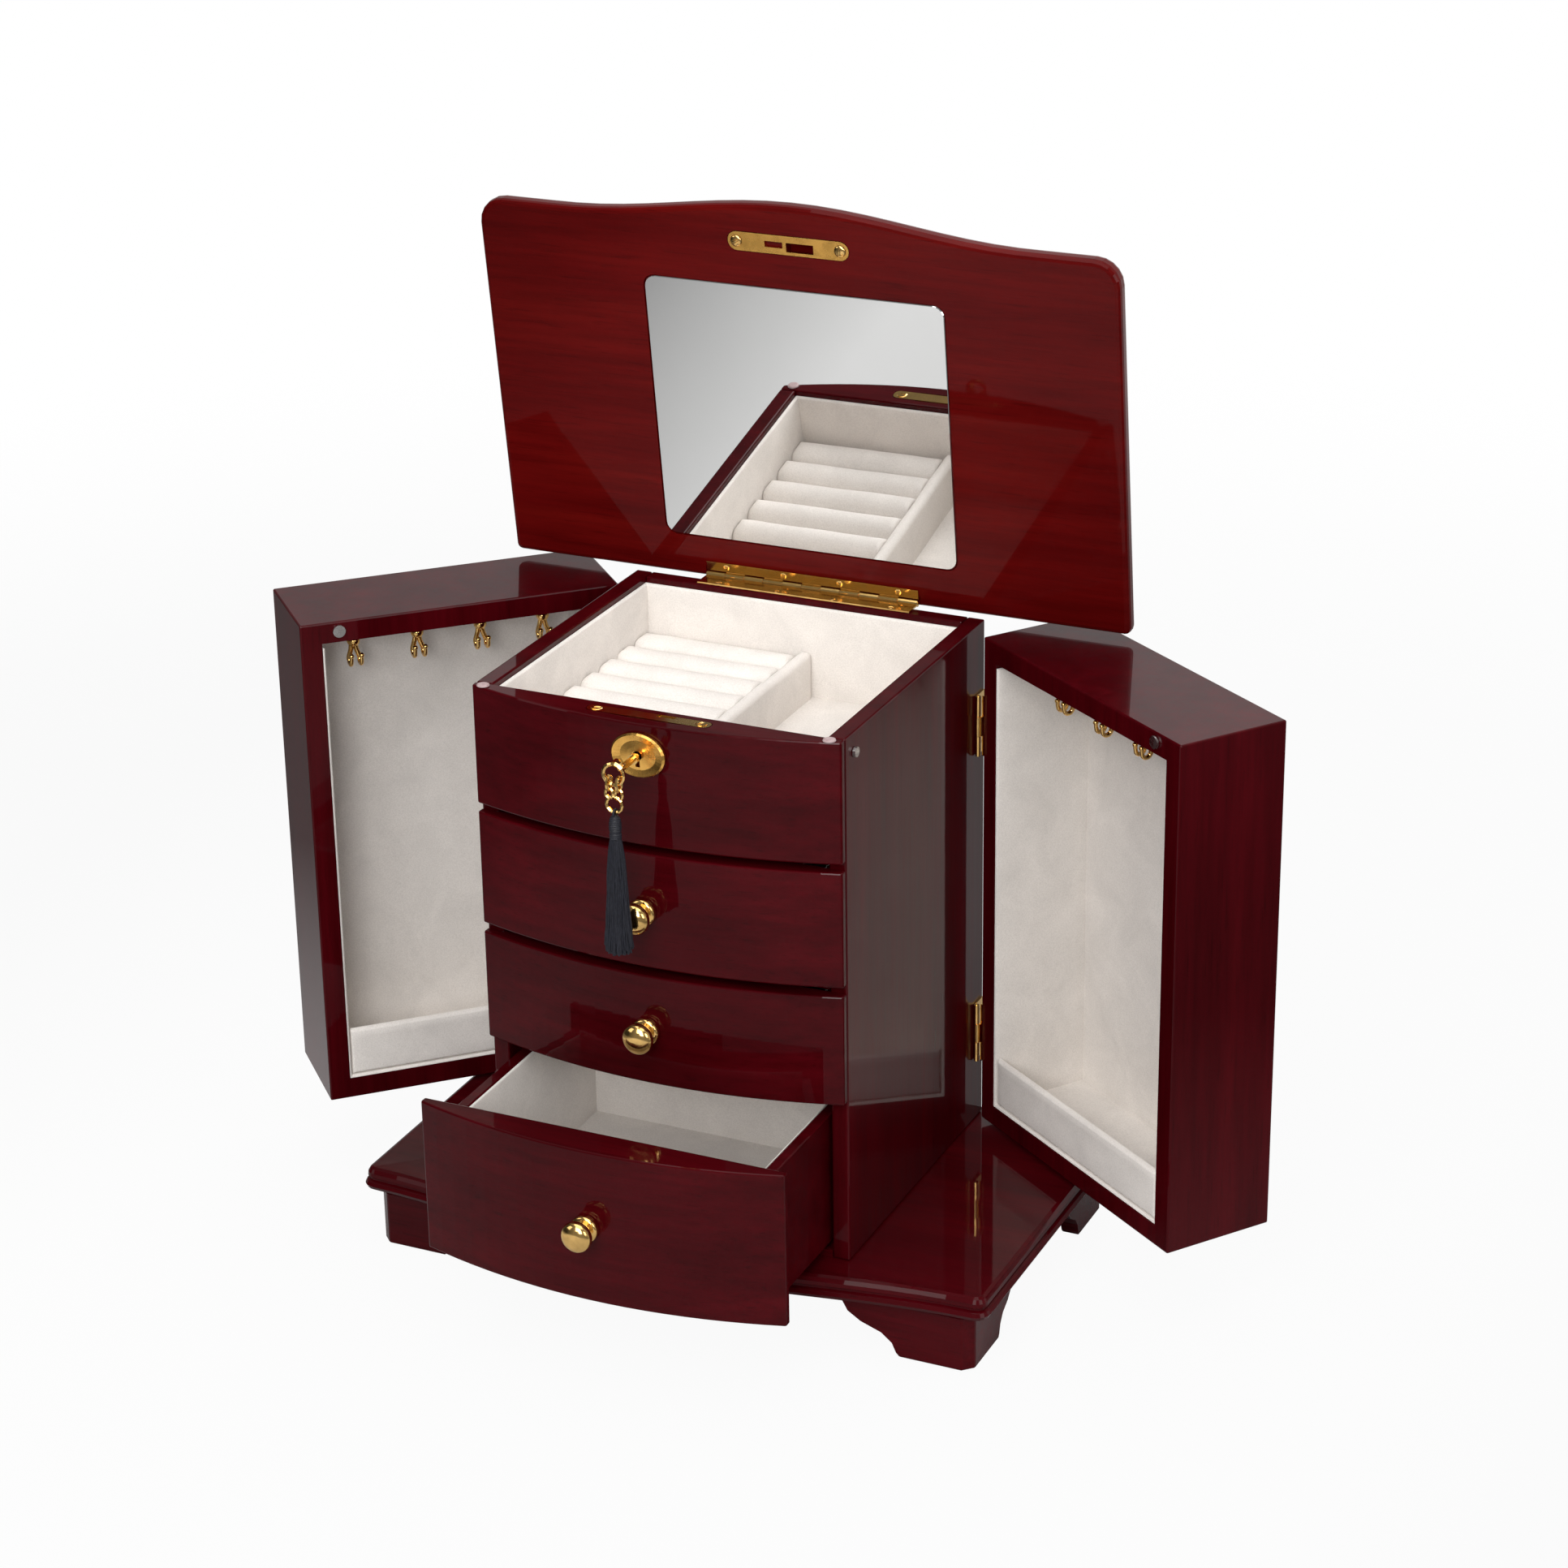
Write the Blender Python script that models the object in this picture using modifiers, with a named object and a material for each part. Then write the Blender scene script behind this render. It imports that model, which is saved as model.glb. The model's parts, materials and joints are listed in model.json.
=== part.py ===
"""Jewelry armoire: bow-fronted cabinet with a lidded top tray, three drawers and two lined side doors.

Working measures are millimetres in the cabinet's own frame: x = 0 on its centre line, y = 0 at its front
corners with +y to the back, z = 0 on the floor. The last step centres the whole on its bounding box.
"""

import math

import bmesh
import bpy
from mathutils import Matrix, Vector

MM = 0.001
GAP = 0.3

# Cabinet
HALF_W = 93.0
DEPTH = 170.0
FOOT_H = 28.5
BASE_T = 12.0
BASE_TOP = FOOT_H + BASE_T
RIM = 305.0
SIDE_T = 8.5
BACK_T = 8.0
FRONT_BACK_Y = 4.0
BOW = 14.5
BOARD_T = 3.5
INNER_X = HALF_W - SIDE_T - GAP
INNER_Y0 = FRONT_BACK_Y + GAP
INNER_Y1 = DEPTH - BACK_T - GAP
EDGE = 0.8

# Base board and feet
BASE_HALF = 166.0
BASE_FRONT = -7.0
BASE_BOW = 19.0
BASE_BACK = 178.0
PLINTH_H = 3.8
FOOT_X = 158.0
FOOT_FRONT = -4.0
FOOT_BACK = 172.0
FOOT_T = 9.0
FOOT_FLAT = 36.0
FOOT_RUN = 66.0
FOOT_SHORT_FLAT = 34.0
FOOT_SHORT_RUN = 52.0
FOOT_CHAMFER = 5.0

# Drawer fronts, as heights below the rim
FASCIA_BOTTOM = 59.3
DRAWERS = (
    {"name": "drawer_1", "top": 63.4, "bottom": 120.6, "out": 0.0},
    {"name": "drawer_2", "top": 125.0, "bottom": 180.4, "out": 0.0},
    {"name": "drawer_3", "top": 183.6, "bottom": 261.1, "out": 66.6},
)
BOX_HALF = 82.3
BOX_WALL = 5.6
BOX_BACK = 147.0
BOX_FLOOR = 3.5
LINING_T = 0.9

# Top tray
TRAY_FLOOR_Z = RIM - 55.0
TRAY_LINING_T = 1.4
TRAY_DROP = 3.0
TRAY_DEPTH = 50.0
ROLL_COUNT = 8
ROLL_R = 9.5
ROLL_LEVEL = RIM - 35.5
DIVIDER_TOP = RIM - 25.0
DIVIDER_T = 7.0

# Lid
LID_OPEN = 82.5
LID_AXIS_Y = 174.6
LID_AXIS_Z = RIM + 1.2
LID_BOTTOM = RIM + 2.4
LID_REAR = 176.9
LID_HALF = 164.3
LID_FRONT = -12.0
LID_CREST = 11.0
LID_CREST_HALF = 120.0
LID_CORNER_R = 13.0
MIRROR_HALF = 77.7
MIRROR_NEAR = 19.4
MIRROR_FAR = 156.3
MIRROR_T = 2.0
STRIKE_Y = -3.8

# Lid hinge
PIANO_HALF = 56.5
PIANO_KNUCKLES = 11
PIANO_R = 1.7
PIANO_PIN_R = 0.8
PIANO_LEAF_T = 0.7
PIANO_LEAF_REACH = 6.8

# Side doors, laid out closed
DOOR_GAP = 3.4
DOOR_AXIS_X = HALF_W + DOOR_GAP / 2
DOOR_AXIS_Y = 158.0
DOOR_BACK = 156.2
DOOR_LEN = 161.7
DOOR_DEPTH = 58.3
DOOR_LOW = 43.4
DOOR_HIGH = RIM - 4.4
DOOR_FRAME = 10.5
DOOR_PANEL = 4.0
DOOR_LINING_T = 1.2
DOORS = (
    {"name": "door_left", "side": -1, "open": 45.7},
    {"name": "door_right", "side": 1, "open": 54.5},
)
POCKET_H = 27.0
POCKET_T = 3.0
HOOK_SPACING = 32.4
HOOK_B = 28.0
BUTT_H = 31.0
BUTT_R = 1.35
BUTT_ZS = (RIM - 50.5, RIM - 214.8)

# Lock
KEY_Z = RIM - 14.6
LOCK_Y = -4.0
LOCK_HALF = 31.0
BOW_RING_Y = -40.0
BOW_RING_Z = KEY_Z
BOW_RING_R = 5.0
BOW_TUBE = 1.0
LINK_TUBE = 0.85
LINK_HALF = 2.45
LINK_BITE = 1.0
STRAND_X = 2.4
TASSEL_LEN = 71.0

SLOTS = {
    "cherry_lacquer": ((0.16, 0.012, 0.016, 1.0), 0.15, 0.0),
    "velvet": ((0.80, 0.77, 0.73, 1.0), 0.95, 0.0),
    "brass": ((0.90, 0.66, 0.26, 1.0), 0.18, 1.0),
    "mirror_glass": ((0.92, 0.94, 0.94, 1.0), 0.02, 1.0),
    "magnet_steel": ((0.70, 0.69, 0.67, 1.0), 0.3, 1.0),
    "bumper": ((0.80, 0.72, 0.70, 1.0), 0.5, 0.0),
    "tassel_thread": ((0.02, 0.025, 0.04, 1.0), 0.8, 0.0),
}

for old in list(bpy.data.objects):
    bpy.data.objects.remove(old, do_unlink=True)

SCENE = bpy.context.scene
PARTS = bpy.data.collections.new("jewelry_armoire")
CUTTERS = bpy.data.collections.new("cutters")
SCENE.collection.children.link(PARTS)
SCENE.collection.children.link(CUTTERS)


def make_material(slot):
    colour, roughness, metallic = SLOTS[slot]
    made = bpy.data.materials.new(slot)
    made.use_nodes = True
    shader = made.node_tree.nodes["Principled BSDF"]
    shader.inputs["Base Color"].default_value = colour
    shader.inputs["Roughness"].default_value = roughness
    shader.inputs["Metallic"].default_value = metallic
    made.diffuse_color = colour
    return made


MATERIALS = {slot: make_material(slot) for slot in SLOTS}


def pivot(name, at):
    empty = bpy.data.objects.new(name, None)
    empty.empty_display_size = 0.02
    PARTS.objects.link(empty)
    empty.location = Vector(at) * MM
    return empty


def adopt(child, parent):
    """Hangs a piece laid out in the cabinet frame on a pivot that is still unturned."""
    if parent:
        child.parent = parent
        child.matrix_parent_inverse = Matrix.Translation(-parent.location)


def place(name, mesh, slot, parent=None, at=(0, 0, 0)):
    made = bpy.data.objects.new(name, mesh)
    PARTS.objects.link(made)
    made.location = Vector(at) * MM
    made.data.materials.clear()
    made.data.materials.append(MATERIALS[slot])
    adopt(made, parent)
    return made


def smooth(made):
    for face in made.data.polygons:
        face.use_smooth = True
    return made


def bevel(made, width, segments=2, angle=40.0):
    rounding = made.modifiers.new("edge", "BEVEL")
    rounding.width = width * MM
    rounding.segments = segments
    rounding.limit_method = "ANGLE"
    rounding.angle_limit = math.radians(angle)
    return made


def combine(made, others, operation):
    for other in others:
        join = made.modifiers.new(operation.lower(), "BOOLEAN")
        join.operation = operation
        join.solver = "EXACT"
        join.object = other
        if other.name in PARTS.objects:
            PARTS.objects.unlink(other)
            CUTTERS.objects.link(other)
        other.hide_render = True
        other.display_type = "WIRE"
    return made


def cut(made, *cutters):
    return combine(made, cutters, "DIFFERENCE")


def fuse(made, *others):
    return combine(made, others, "UNION")


def box_mesh(name, low, high):
    form = bmesh.new()
    bmesh.ops.create_cube(form, size=1.0)
    size = [(b - a) * MM for a, b in zip(low, high)]
    bmesh.ops.scale(form, vec=size, verts=form.verts)
    mesh = bpy.data.meshes.new(name)
    form.to_mesh(mesh)
    form.free()
    return mesh


def box(name, low, high, slot, parent=None, edge=0.0):
    centre = [(a + b) / 2 for a, b in zip(low, high)]
    made = place(name, box_mesh(name, low, high), slot, parent, centre)
    return bevel(made, edge) if edge else made


def solid_of(curve, name, weld=1e-6):
    """The mesh of a curve, with its caps joined to its walls and cut into as few faces as it takes."""
    holder = bpy.data.objects.new(name, curve)
    SCENE.collection.objects.link(holder)
    bpy.context.view_layer.update()
    mesh = bpy.data.meshes.new_from_object(holder.evaluated_get(bpy.context.evaluated_depsgraph_get()))
    bpy.data.objects.remove(holder, do_unlink=True)
    form = bmesh.new()
    form.from_mesh(mesh)
    bmesh.ops.remove_doubles(form, verts=form.verts, dist=weld)
    bmesh.ops.dissolve_limit(form, angle_limit=math.radians(0.5), verts=form.verts, edges=form.edges)
    bmesh.ops.recalc_face_normals(form, faces=form.faces)
    form.to_mesh(mesh)
    form.free()
    return mesh


def prism(name, outline, low, high, slot, parent=None, turn=None):
    """A flat outline carried from low to high along z, or along the axis that turn swings z to."""
    curve = bpy.data.curves.new(name, "CURVE")
    curve.dimensions = "2D"
    curve.fill_mode = "BOTH"
    curve.extrude = (high - low) / 2 * MM
    line = curve.splines.new("POLY")
    line.points.add(len(outline) - 1)
    for point, (u, v) in zip(line.points, outline):
        point.co = (u * MM, v * MM, 0, 1)
    line.use_cyclic_u = True
    mesh = solid_of(curve, name)
    mesh.transform(Matrix.Translation((0, 0, (low + high) / 2 * MM)))
    if turn:
        mesh.transform(turn)
    return place(name, mesh, slot, parent)


# These swing a prism's outline plane: the first maps (u, v, w) to (x, z, -y), the second to (y, z, x).
ALONG_Y = Matrix.Rotation(math.radians(90), 4, "X")
ALONG_X = Matrix(((0, 0, 1, 0), (1, 0, 0, 0), (0, 1, 0, 0), (0, 0, 0, 1)))


def tube(name, path, radius, slot, parent=None, closed=False, sides=1):
    curve = bpy.data.curves.new(name, "CURVE")
    curve.dimensions = "3D"
    curve.bevel_depth = radius * MM
    curve.bevel_resolution = sides
    curve.use_fill_caps = not closed
    line = curve.splines.new("POLY")
    line.points.add(len(path) - 1)
    for point, spot in zip(line.points, path):
        point.co = (*[value * MM for value in spot], 1)
    line.use_cyclic_u = closed
    return smooth(place(name, solid_of(curve, name), slot, parent))


def rod(name, start, end, radius, slot, parent=None, sides=24):
    """A straight cylinder between two points."""
    form = bmesh.new()
    span = (Vector(end) - Vector(start)) * MM
    bmesh.ops.create_cone(
        form, cap_ends=True, segments=sides, radius1=radius * MM, radius2=radius * MM, depth=span.length
    )
    mesh = bpy.data.meshes.new(name)
    form.to_mesh(mesh)
    form.free()
    mesh.transform(span.to_track_quat("Z", "Y").to_matrix().to_4x4())
    middle = (Vector(start) + Vector(end)) / 2
    return place(name, mesh, slot, parent, middle)


def lathe(name, profile, slot, at, parent=None, turn=None, steps=32):
    """A profile of (radius, height), outer side from top to bottom, spun round z and then turned."""
    form = bmesh.new()
    spots = [form.verts.new((r * MM, 0, h * MM)) for r, h in profile]
    for one, two in zip(spots, spots[1:]):
        form.edges.new((one, two))
    mesh = bpy.data.meshes.new(name)
    form.to_mesh(mesh)
    form.free()
    made = place(name, mesh, slot, None, at)
    spin = made.modifiers.new("spin", "SCREW")
    spin.steps = steps
    spin.render_steps = steps
    spin.use_merge_vertices = True
    spin.merge_threshold = 1e-5
    spin.use_smooth_shade = True
    if turn:
        made.rotation_euler = turn
    adopt(made, parent)
    return made


def rings(name, loops, slot, parent=None):
    """A solid lofted through closed loops of equal length, flat at both ends."""
    form = bmesh.new()
    made_loops = [[form.verts.new((x * MM, y * MM, z * MM)) for x, y, z in loop] for loop in loops]
    form.faces.new(reversed(made_loops[0]))
    form.faces.new(made_loops[-1])
    for low, high in zip(made_loops, made_loops[1:]):
        for i in range(len(low)):
            j = (i + 1) % len(low)
            form.faces.new((low[i], low[j], high[j], high[i]))
    bmesh.ops.recalc_face_normals(form, faces=form.faces)
    mesh = bpy.data.meshes.new(name)
    form.to_mesh(mesh)
    form.free()
    return place(name, mesh, slot, parent)


def arc(cx, cy, radius, start, end, count):
    spots = []
    for i in range(count + 1):
        a = math.radians(start + (end - start) * i / count)
        spots.append((cx + radius * math.cos(a), cy + radius * math.sin(a)))
    return spots


def rounded(x0, x1, y0, y1, radius, count=5):
    return (
        arc(x0 + radius, y0 + radius, radius, 180, 270, count)
        + arc(x1 - radius, y0 + radius, radius, 270, 360, count)
        + arc(x1 - radius, y1 - radius, radius, 0, 90, count)
        + arc(x0 + radius, y1 - radius, radius, 90, 180, count)
    )


def shaped_plan(half, front, back, front_r, back_r, inset, samples=24):
    """Plan outline with a shaped front edge, shrunk evenly by inset."""
    reach = half - front_r
    corner_y = front(reach) + front_r
    spots = arc(-reach, corner_y, front_r - inset, 180, 270, 5)
    for i in range(1, samples):
        x = -reach + 2 * reach * i / samples
        spots.append((x, front(x) + inset))
    spots += arc(reach, corner_y, front_r - inset, 270, 360, 5)
    spots += arc(half - back_r, back - back_r, back_r - inset, 0, 90, 3)
    spots += arc(-half + back_r, back - back_r, back_r - inset, 90, 180, 3)
    return spots


def bow(x):
    return -BOW * (1 - (x / HALF_W) ** 2)


def bowed_plan(half, back, samples=20):
    front = []
    for i in range(samples + 1):
        x = -half + 2 * half * i / samples
        front.append((x, bow(x)))
    return front + [(half, back), (-half, back)]


def base_front(x):
    return BASE_FRONT - BASE_BOW * (0.5 + 0.5 * math.cos(math.pi * x / BASE_HALF))


def lid_front(x):
    if abs(x) >= LID_CREST_HALF:
        return LID_FRONT
    return LID_FRONT - LID_CREST * (0.5 + 0.5 * math.cos(math.pi * x / LID_CREST_HALF))


def make_base():
    moulding = (
        (4.6, 0.0),
        (1.0, 1.3),
        (0.0, 3.2),
        (0.9, 5.0),
        (2.4, 5.7),
        (2.4, 6.6),
        (1.5, 7.4),
        (1.7, 9.4),
        (2.8, 11.2),
        (4.4, 12.0),
    )
    loops = []
    for inset, rise in moulding:
        plan = shaped_plan(BASE_HALF, base_front, BASE_BACK, 7.0, 7.0, inset)
        loops.append([(x, y, FOOT_H + rise) for x, y in plan])
    board = rings("base_board", loops, "cherry_lacquer")
    low = (-INNER_X, INNER_Y0, BASE_TOP - 2)
    plinth = box("base_plinth", low, (INNER_X, INNER_Y1, BASE_TOP + PLINTH_H), "cherry_lacquer")
    fuse(board, plinth)


def ogee(flat, run):
    """Cut under one arm of a foot: from the foot's corner outwards, flat ground first."""
    curve = (
        (0.0, -1.0),
        (0.0, 0.0),
        (0.07, 2.2),
        (0.14, 6.9),
        (0.32, 11.3),
        (0.67, 15.0),
        (0.89, 19.2),
        (1.0, 25.0),
    )
    spots = [(flat + (run - flat) * part, height) for part, height in curve]
    return spots + [(run, FOOT_H + 1.0), (run + 5.0, FOOT_H + 1.0), (run + 5.0, -1.0)]


def make_foot(name, sx, sy, x_arm, y_arm):
    """sx is the side the foot stands on and sy is -1 at the front; each arm is (flat, run)."""
    corner_y = FOOT_FRONT if sy < 0 else FOOT_BACK

    def spot(u, v):
        return (sx * (FOOT_X - u), corner_y - sy * v)

    plan = [
        spot(0, FOOT_CHAMFER),
        spot(0, y_arm[1]),
        spot(FOOT_T, y_arm[1]),
        spot(FOOT_T, FOOT_T),
        spot(x_arm[1], FOOT_T),
        spot(x_arm[1], 0),
        spot(FOOT_CHAMFER, 0),
    ]
    foot = bevel(prism(name, plan, 0, FOOT_H - GAP, "cherry_lacquer"), 0.6, 1)
    across = [(sx * (FOOT_X - u), z) for u, z in ogee(*x_arm)]
    along = [(corner_y - sy * u, z) for u, z in ogee(*y_arm)]
    y_low, y_high = sorted((corner_y + sy * 2, corner_y - sy * (FOOT_T + 2)))
    x_low, x_high = sorted((sx * (FOOT_X + 2), sx * (FOOT_X - FOOT_T - 2)))
    cutter_x = prism(name + "_cut_x", across, -y_high, -y_low, "cherry_lacquer", None, ALONG_Y)
    cutter_y = prism(name + "_cut_y", along, x_low, x_high, "cherry_lacquer", None, ALONG_X)
    return cut(foot, cutter_x, cutter_y)


def make_cabinet():
    long_arm = (FOOT_FLAT, FOOT_RUN)
    short_arm = (FOOT_SHORT_FLAT, FOOT_SHORT_RUN)
    make_foot("foot_front_left", -1, -1, long_arm, short_arm)
    make_foot("foot_front_right", 1, -1, long_arm, short_arm)
    make_foot("foot_back_left", -1, 1, long_arm, short_arm)
    make_foot("foot_back_right", 1, 1, long_arm, short_arm)
    low = BASE_TOP + GAP
    for name, side in (("side_panel_left", -1), ("side_panel_right", 1)):
        x0, x1 = sorted((side * HALF_W, side * (HALF_W - SIDE_T)))
        box(name, (x0, INNER_Y0, low), (x1, DEPTH, RIM), "cherry_lacquer", None, EDGE)
    box("back_panel", (-INNER_X, DEPTH - BACK_T, low), (INNER_X, DEPTH, RIM), "cherry_lacquer", None, 0.6)
    for name, below in (("dust_board_upper", 122.8), ("dust_board_lower", 182.0)):
        z = RIM - below
        half_t = 1.6
        box(name, (-INNER_X, INNER_Y0, z - half_t), (INNER_X, INNER_Y1, z + half_t), "cherry_lacquer")
    box(
        "tray_floor",
        (-INNER_X, INNER_Y0, TRAY_FLOOR_Z),
        (INNER_X, INNER_Y1, TRAY_FLOOR_Z + BOARD_T),
        "cherry_lacquer",
    )


def make_fascia():
    fascia = prism("top_fascia", bowed_plan(HALF_W, FRONT_BACK_Y), RIM - FASCIA_BOTTOM, RIM, "cherry_lacquer")
    bevel(fascia, EDGE)
    plate = rounded(-LOCK_HALF - GAP, LOCK_HALF + GAP, LOCK_Y - 3.4 - GAP, LOCK_Y + 3.4 + GAP, 3.0)
    plate_pocket = prism("fascia_plate_pocket", plate, RIM - 1.2 - GAP, RIM + 5, "brass")
    case_pocket = box("fascia_case_pocket", (-17.5, -8.2, RIM - 27.5), (17.5, 0.2, RIM + 4), "brass")
    key_bore = rod("fascia_key_bore", (0, -30, KEY_Z), (0, -5, KEY_Z), 3.2, "brass")
    cut(fascia, plate_pocket, case_pocket, key_bore)


def make_lock():
    case = box("lock_case", (-17.2, -7.9, RIM - 27.2), (17.2, -0.1, RIM - 0.6), "brass")
    plate_plan = rounded(-LOCK_HALF, LOCK_HALF, LOCK_Y - 3.4, LOCK_Y + 3.4, 3.0)
    plate = prism("lock_plate", plate_plan, RIM - 1.2, RIM + 0.1, "brass")
    fuse(case, plate)
    slot = box("lock_slot", (3.5, -3.2, RIM - 20), (12.5, -0.8, RIM + 3), "brass")
    bore = rod("lock_bore", (0, -12, KEY_Z), (0, -3.6, KEY_Z), 2.1, "brass")
    screws = []
    for i, x in enumerate((-26.5, 26.5)):
        start = (x, LOCK_Y, RIM - 0.5)
        screws.append(rod(f"lock_screw_{i}", start, (x, LOCK_Y, RIM + 0.5), 2.4, "brass", None, 16))
    cut(case, slot, bore)
    fuse(case, *screws)
    bolt_axis = pivot("lock_bolt_axis", (8, -2, RIM - 8))
    box("lock_bolt", (4.0, -2.9, RIM - 15), (12.0, -1.1, RIM - 0.6), "brass", bolt_axis)


def make_escutcheon():
    """An oval dished plate with a raised rim, standing on the fascia's bow."""
    wide, tall = 13.6, 10.7
    back = -BOW - GAP
    profile = ((1.0, 0.0), (1.0, 1.4), (0.93, 2.3), (0.83, 1.9), (0.66, 1.3), (0.40, 1.7), (0.22, 1.9))
    loops = []
    for part, rise in profile:
        loop = []
        for i in range(32):
            a = 2 * math.pi * i / 32
            loop.append((wide * part * math.cos(a), back - rise, KEY_Z + tall * part * math.sin(a)))
        loops.append(loop)
    plate = smooth(rings("escutcheon", loops, "brass"))
    hole = rod("escutcheon_hole", (0, -30, KEY_Z), (0, 0, KEY_Z), 2.3, "brass")
    slit = box("escutcheon_slit", (-1.1, -30, KEY_Z - 5.6), (1.1, 0, KEY_Z), "brass")
    cut(plate, hole, slit)


def make_key():
    turning = pivot("key_turn_axis", (0, BOW_RING_Y, KEY_Z))
    shaft_end = -33.0
    key = rod("key", (0, -4.2, KEY_Z), (0, shaft_end, KEY_Z), 1.6, "brass", turning, 20)
    collar = rod("key_collar", (0, -19.5, KEY_Z), (0, -21.5, KEY_Z), 2.5, "brass", turning, 20)
    arm_path = [
        (0, shaft_end + 1.0, KEY_Z),
        (0, shaft_end - 0.5, KEY_Z + 1.8),
        (0, shaft_end - 1.6, KEY_Z + 4.0),
        (0, shaft_end - 3.4, KEY_Z + 5.2),
        (0, BOW_RING_Y, BOW_RING_Z + BOW_RING_R),
    ]
    arm = tube("key_arm", arm_path, 1.2, "brass", turning)
    path = [(x, BOW_RING_Y, BOW_RING_Z + z) for x, z in arc(0, 0, BOW_RING_R, 0, 340, 17)]
    ring = tube("key_ring", path, BOW_TUBE, "brass", turning, True)
    fuse(key, collar, arm, ring)
    smooth(key)


def link(name, centre, half, wide, across, parent):
    """One oval chain link, standing across the chain's plane or lying in it."""
    path = []
    for u, v in arc(0, 0, 1.0, 0, 330, 11):
        side = u * wide
        spot = (centre[0] + side, centre[1]) if across else (centre[0], centre[1] + side)
        path.append((*spot, centre[2] + v * half))
    return tube(name, path, LINK_TUBE, "brass", parent, True)


def make_tassel():
    """Two short strands that hang from the key's ring to one long link, and the tassel below it."""
    hanging = pivot("tassel_swing_axis", (0, BOW_RING_Y, KEY_Z))
    first = LINK_HALF + 0.9
    last = LINK_HALF + 1.35
    top = BOW_RING_Z - 1.1 - first
    second = top - (first + LINK_HALF - LINK_BITE)
    bottom = second - (LINK_HALF + last - LINK_BITE)
    chain = link("key_chain", (0, BOW_RING_Y, bottom), last, 3.9, True, hanging)
    links = []
    for i, x in enumerate((-STRAND_X, STRAND_X)):
        links.append(link(f"strand_{i}_first", (x, BOW_RING_Y, top), first, 2.4, False, hanging))
        links.append(link(f"strand_{i}_second", (x, BOW_RING_Y, second), LINK_HALF, 1.8, True, hanging))
    fuse(chain, *links)
    profile = (
        (0.0, 0.0),
        (1.3, -0.4),
        (2.2, -1.6),
        (2.7, -4.0),
        (2.7, -7.5),
        (2.1, -10.0),
        (2.3, -12.0),
        (3.7, -17.0),
        (4.7, -27.0),
        (5.2, -42.0),
        (6.2, -58.0),
        (7.0, -TASSEL_LEN + 1.0),
        (5.8, -TASSEL_LEN),
        (0.0, -TASSEL_LEN),
    )
    hung = bottom - last - LINK_TUBE - GAP
    lathe("tassel", profile, "tassel_thread", (0, BOW_RING_Y, hung), hanging, None, 16)


def make_tray():
    low = TRAY_FLOOR_Z + BOARD_T + GAP
    high = RIM - TRAY_DROP
    lining = box("tray_lining", (-INNER_X, INNER_Y0, low), (INNER_X, INNER_Y1, high), "velvet")
    t = TRAY_LINING_T
    hollow = box(
        "tray_hollow",
        (-INNER_X + t, INNER_Y0 + t, RIM - TRAY_DEPTH),
        (INNER_X - t, INNER_Y1 - t, RIM + 5),
        "velvet",
    )
    cut(lining, hollow)
    y0 = INNER_Y0 + t + GAP
    y1 = INNER_Y1 - t - GAP
    pitch = (y1 - y0) / ROLL_COUNT
    floor = RIM - TRAY_DEPTH + GAP
    outline = [(y0, floor)]
    for i in range(ROLL_COUNT):
        centre = y0 + pitch * (i + 0.5)
        for j in range(9):
            a = math.radians(180 - 180 * j / 8)
            outline.append((centre + (pitch / 2 - 0.15) * math.cos(a), ROLL_LEVEL + ROLL_R * math.sin(a)))
    outline.append((y1, floor))
    prism("ring_rolls", outline, -INNER_X + t + GAP, -GAP, "velvet", None, ALONG_X)
    box("tray_divider", (0, y0, floor), (DIVIDER_T, y1, DIVIDER_TOP), "velvet", None, 2.6)
    for name, side in (("rim_bumper_left", -1), ("rim_bumper_right", 1)):
        at = (side * 87.2, 0.2, RIM + GAP)
        profile = ((0.0, 0.9), (2.2, 0.8), (2.9, 0.5), (3.1, 0.0), (0.0, 0.0))
        lathe(name, profile, "bumper", at, None, None, 16)


def knuckles(name, axis, radius, count, odd, start, step, slot, parent, clearance=0.12):
    """Every second knuckle of a hinge barrel: axis is its direction, start its first end."""
    made = []
    for i in range(count):
        if i % 2 != odd:
            continue
        a = [s + axis[k] * (step * i + clearance) for k, s in enumerate(start)]
        b = [s + axis[k] * (step * (i + 1) - clearance) for k, s in enumerate(start)]
        made.append(rod(f"{name}_knuckle_{i}", a, b, radius, slot, parent, 12))
    return made


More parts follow.
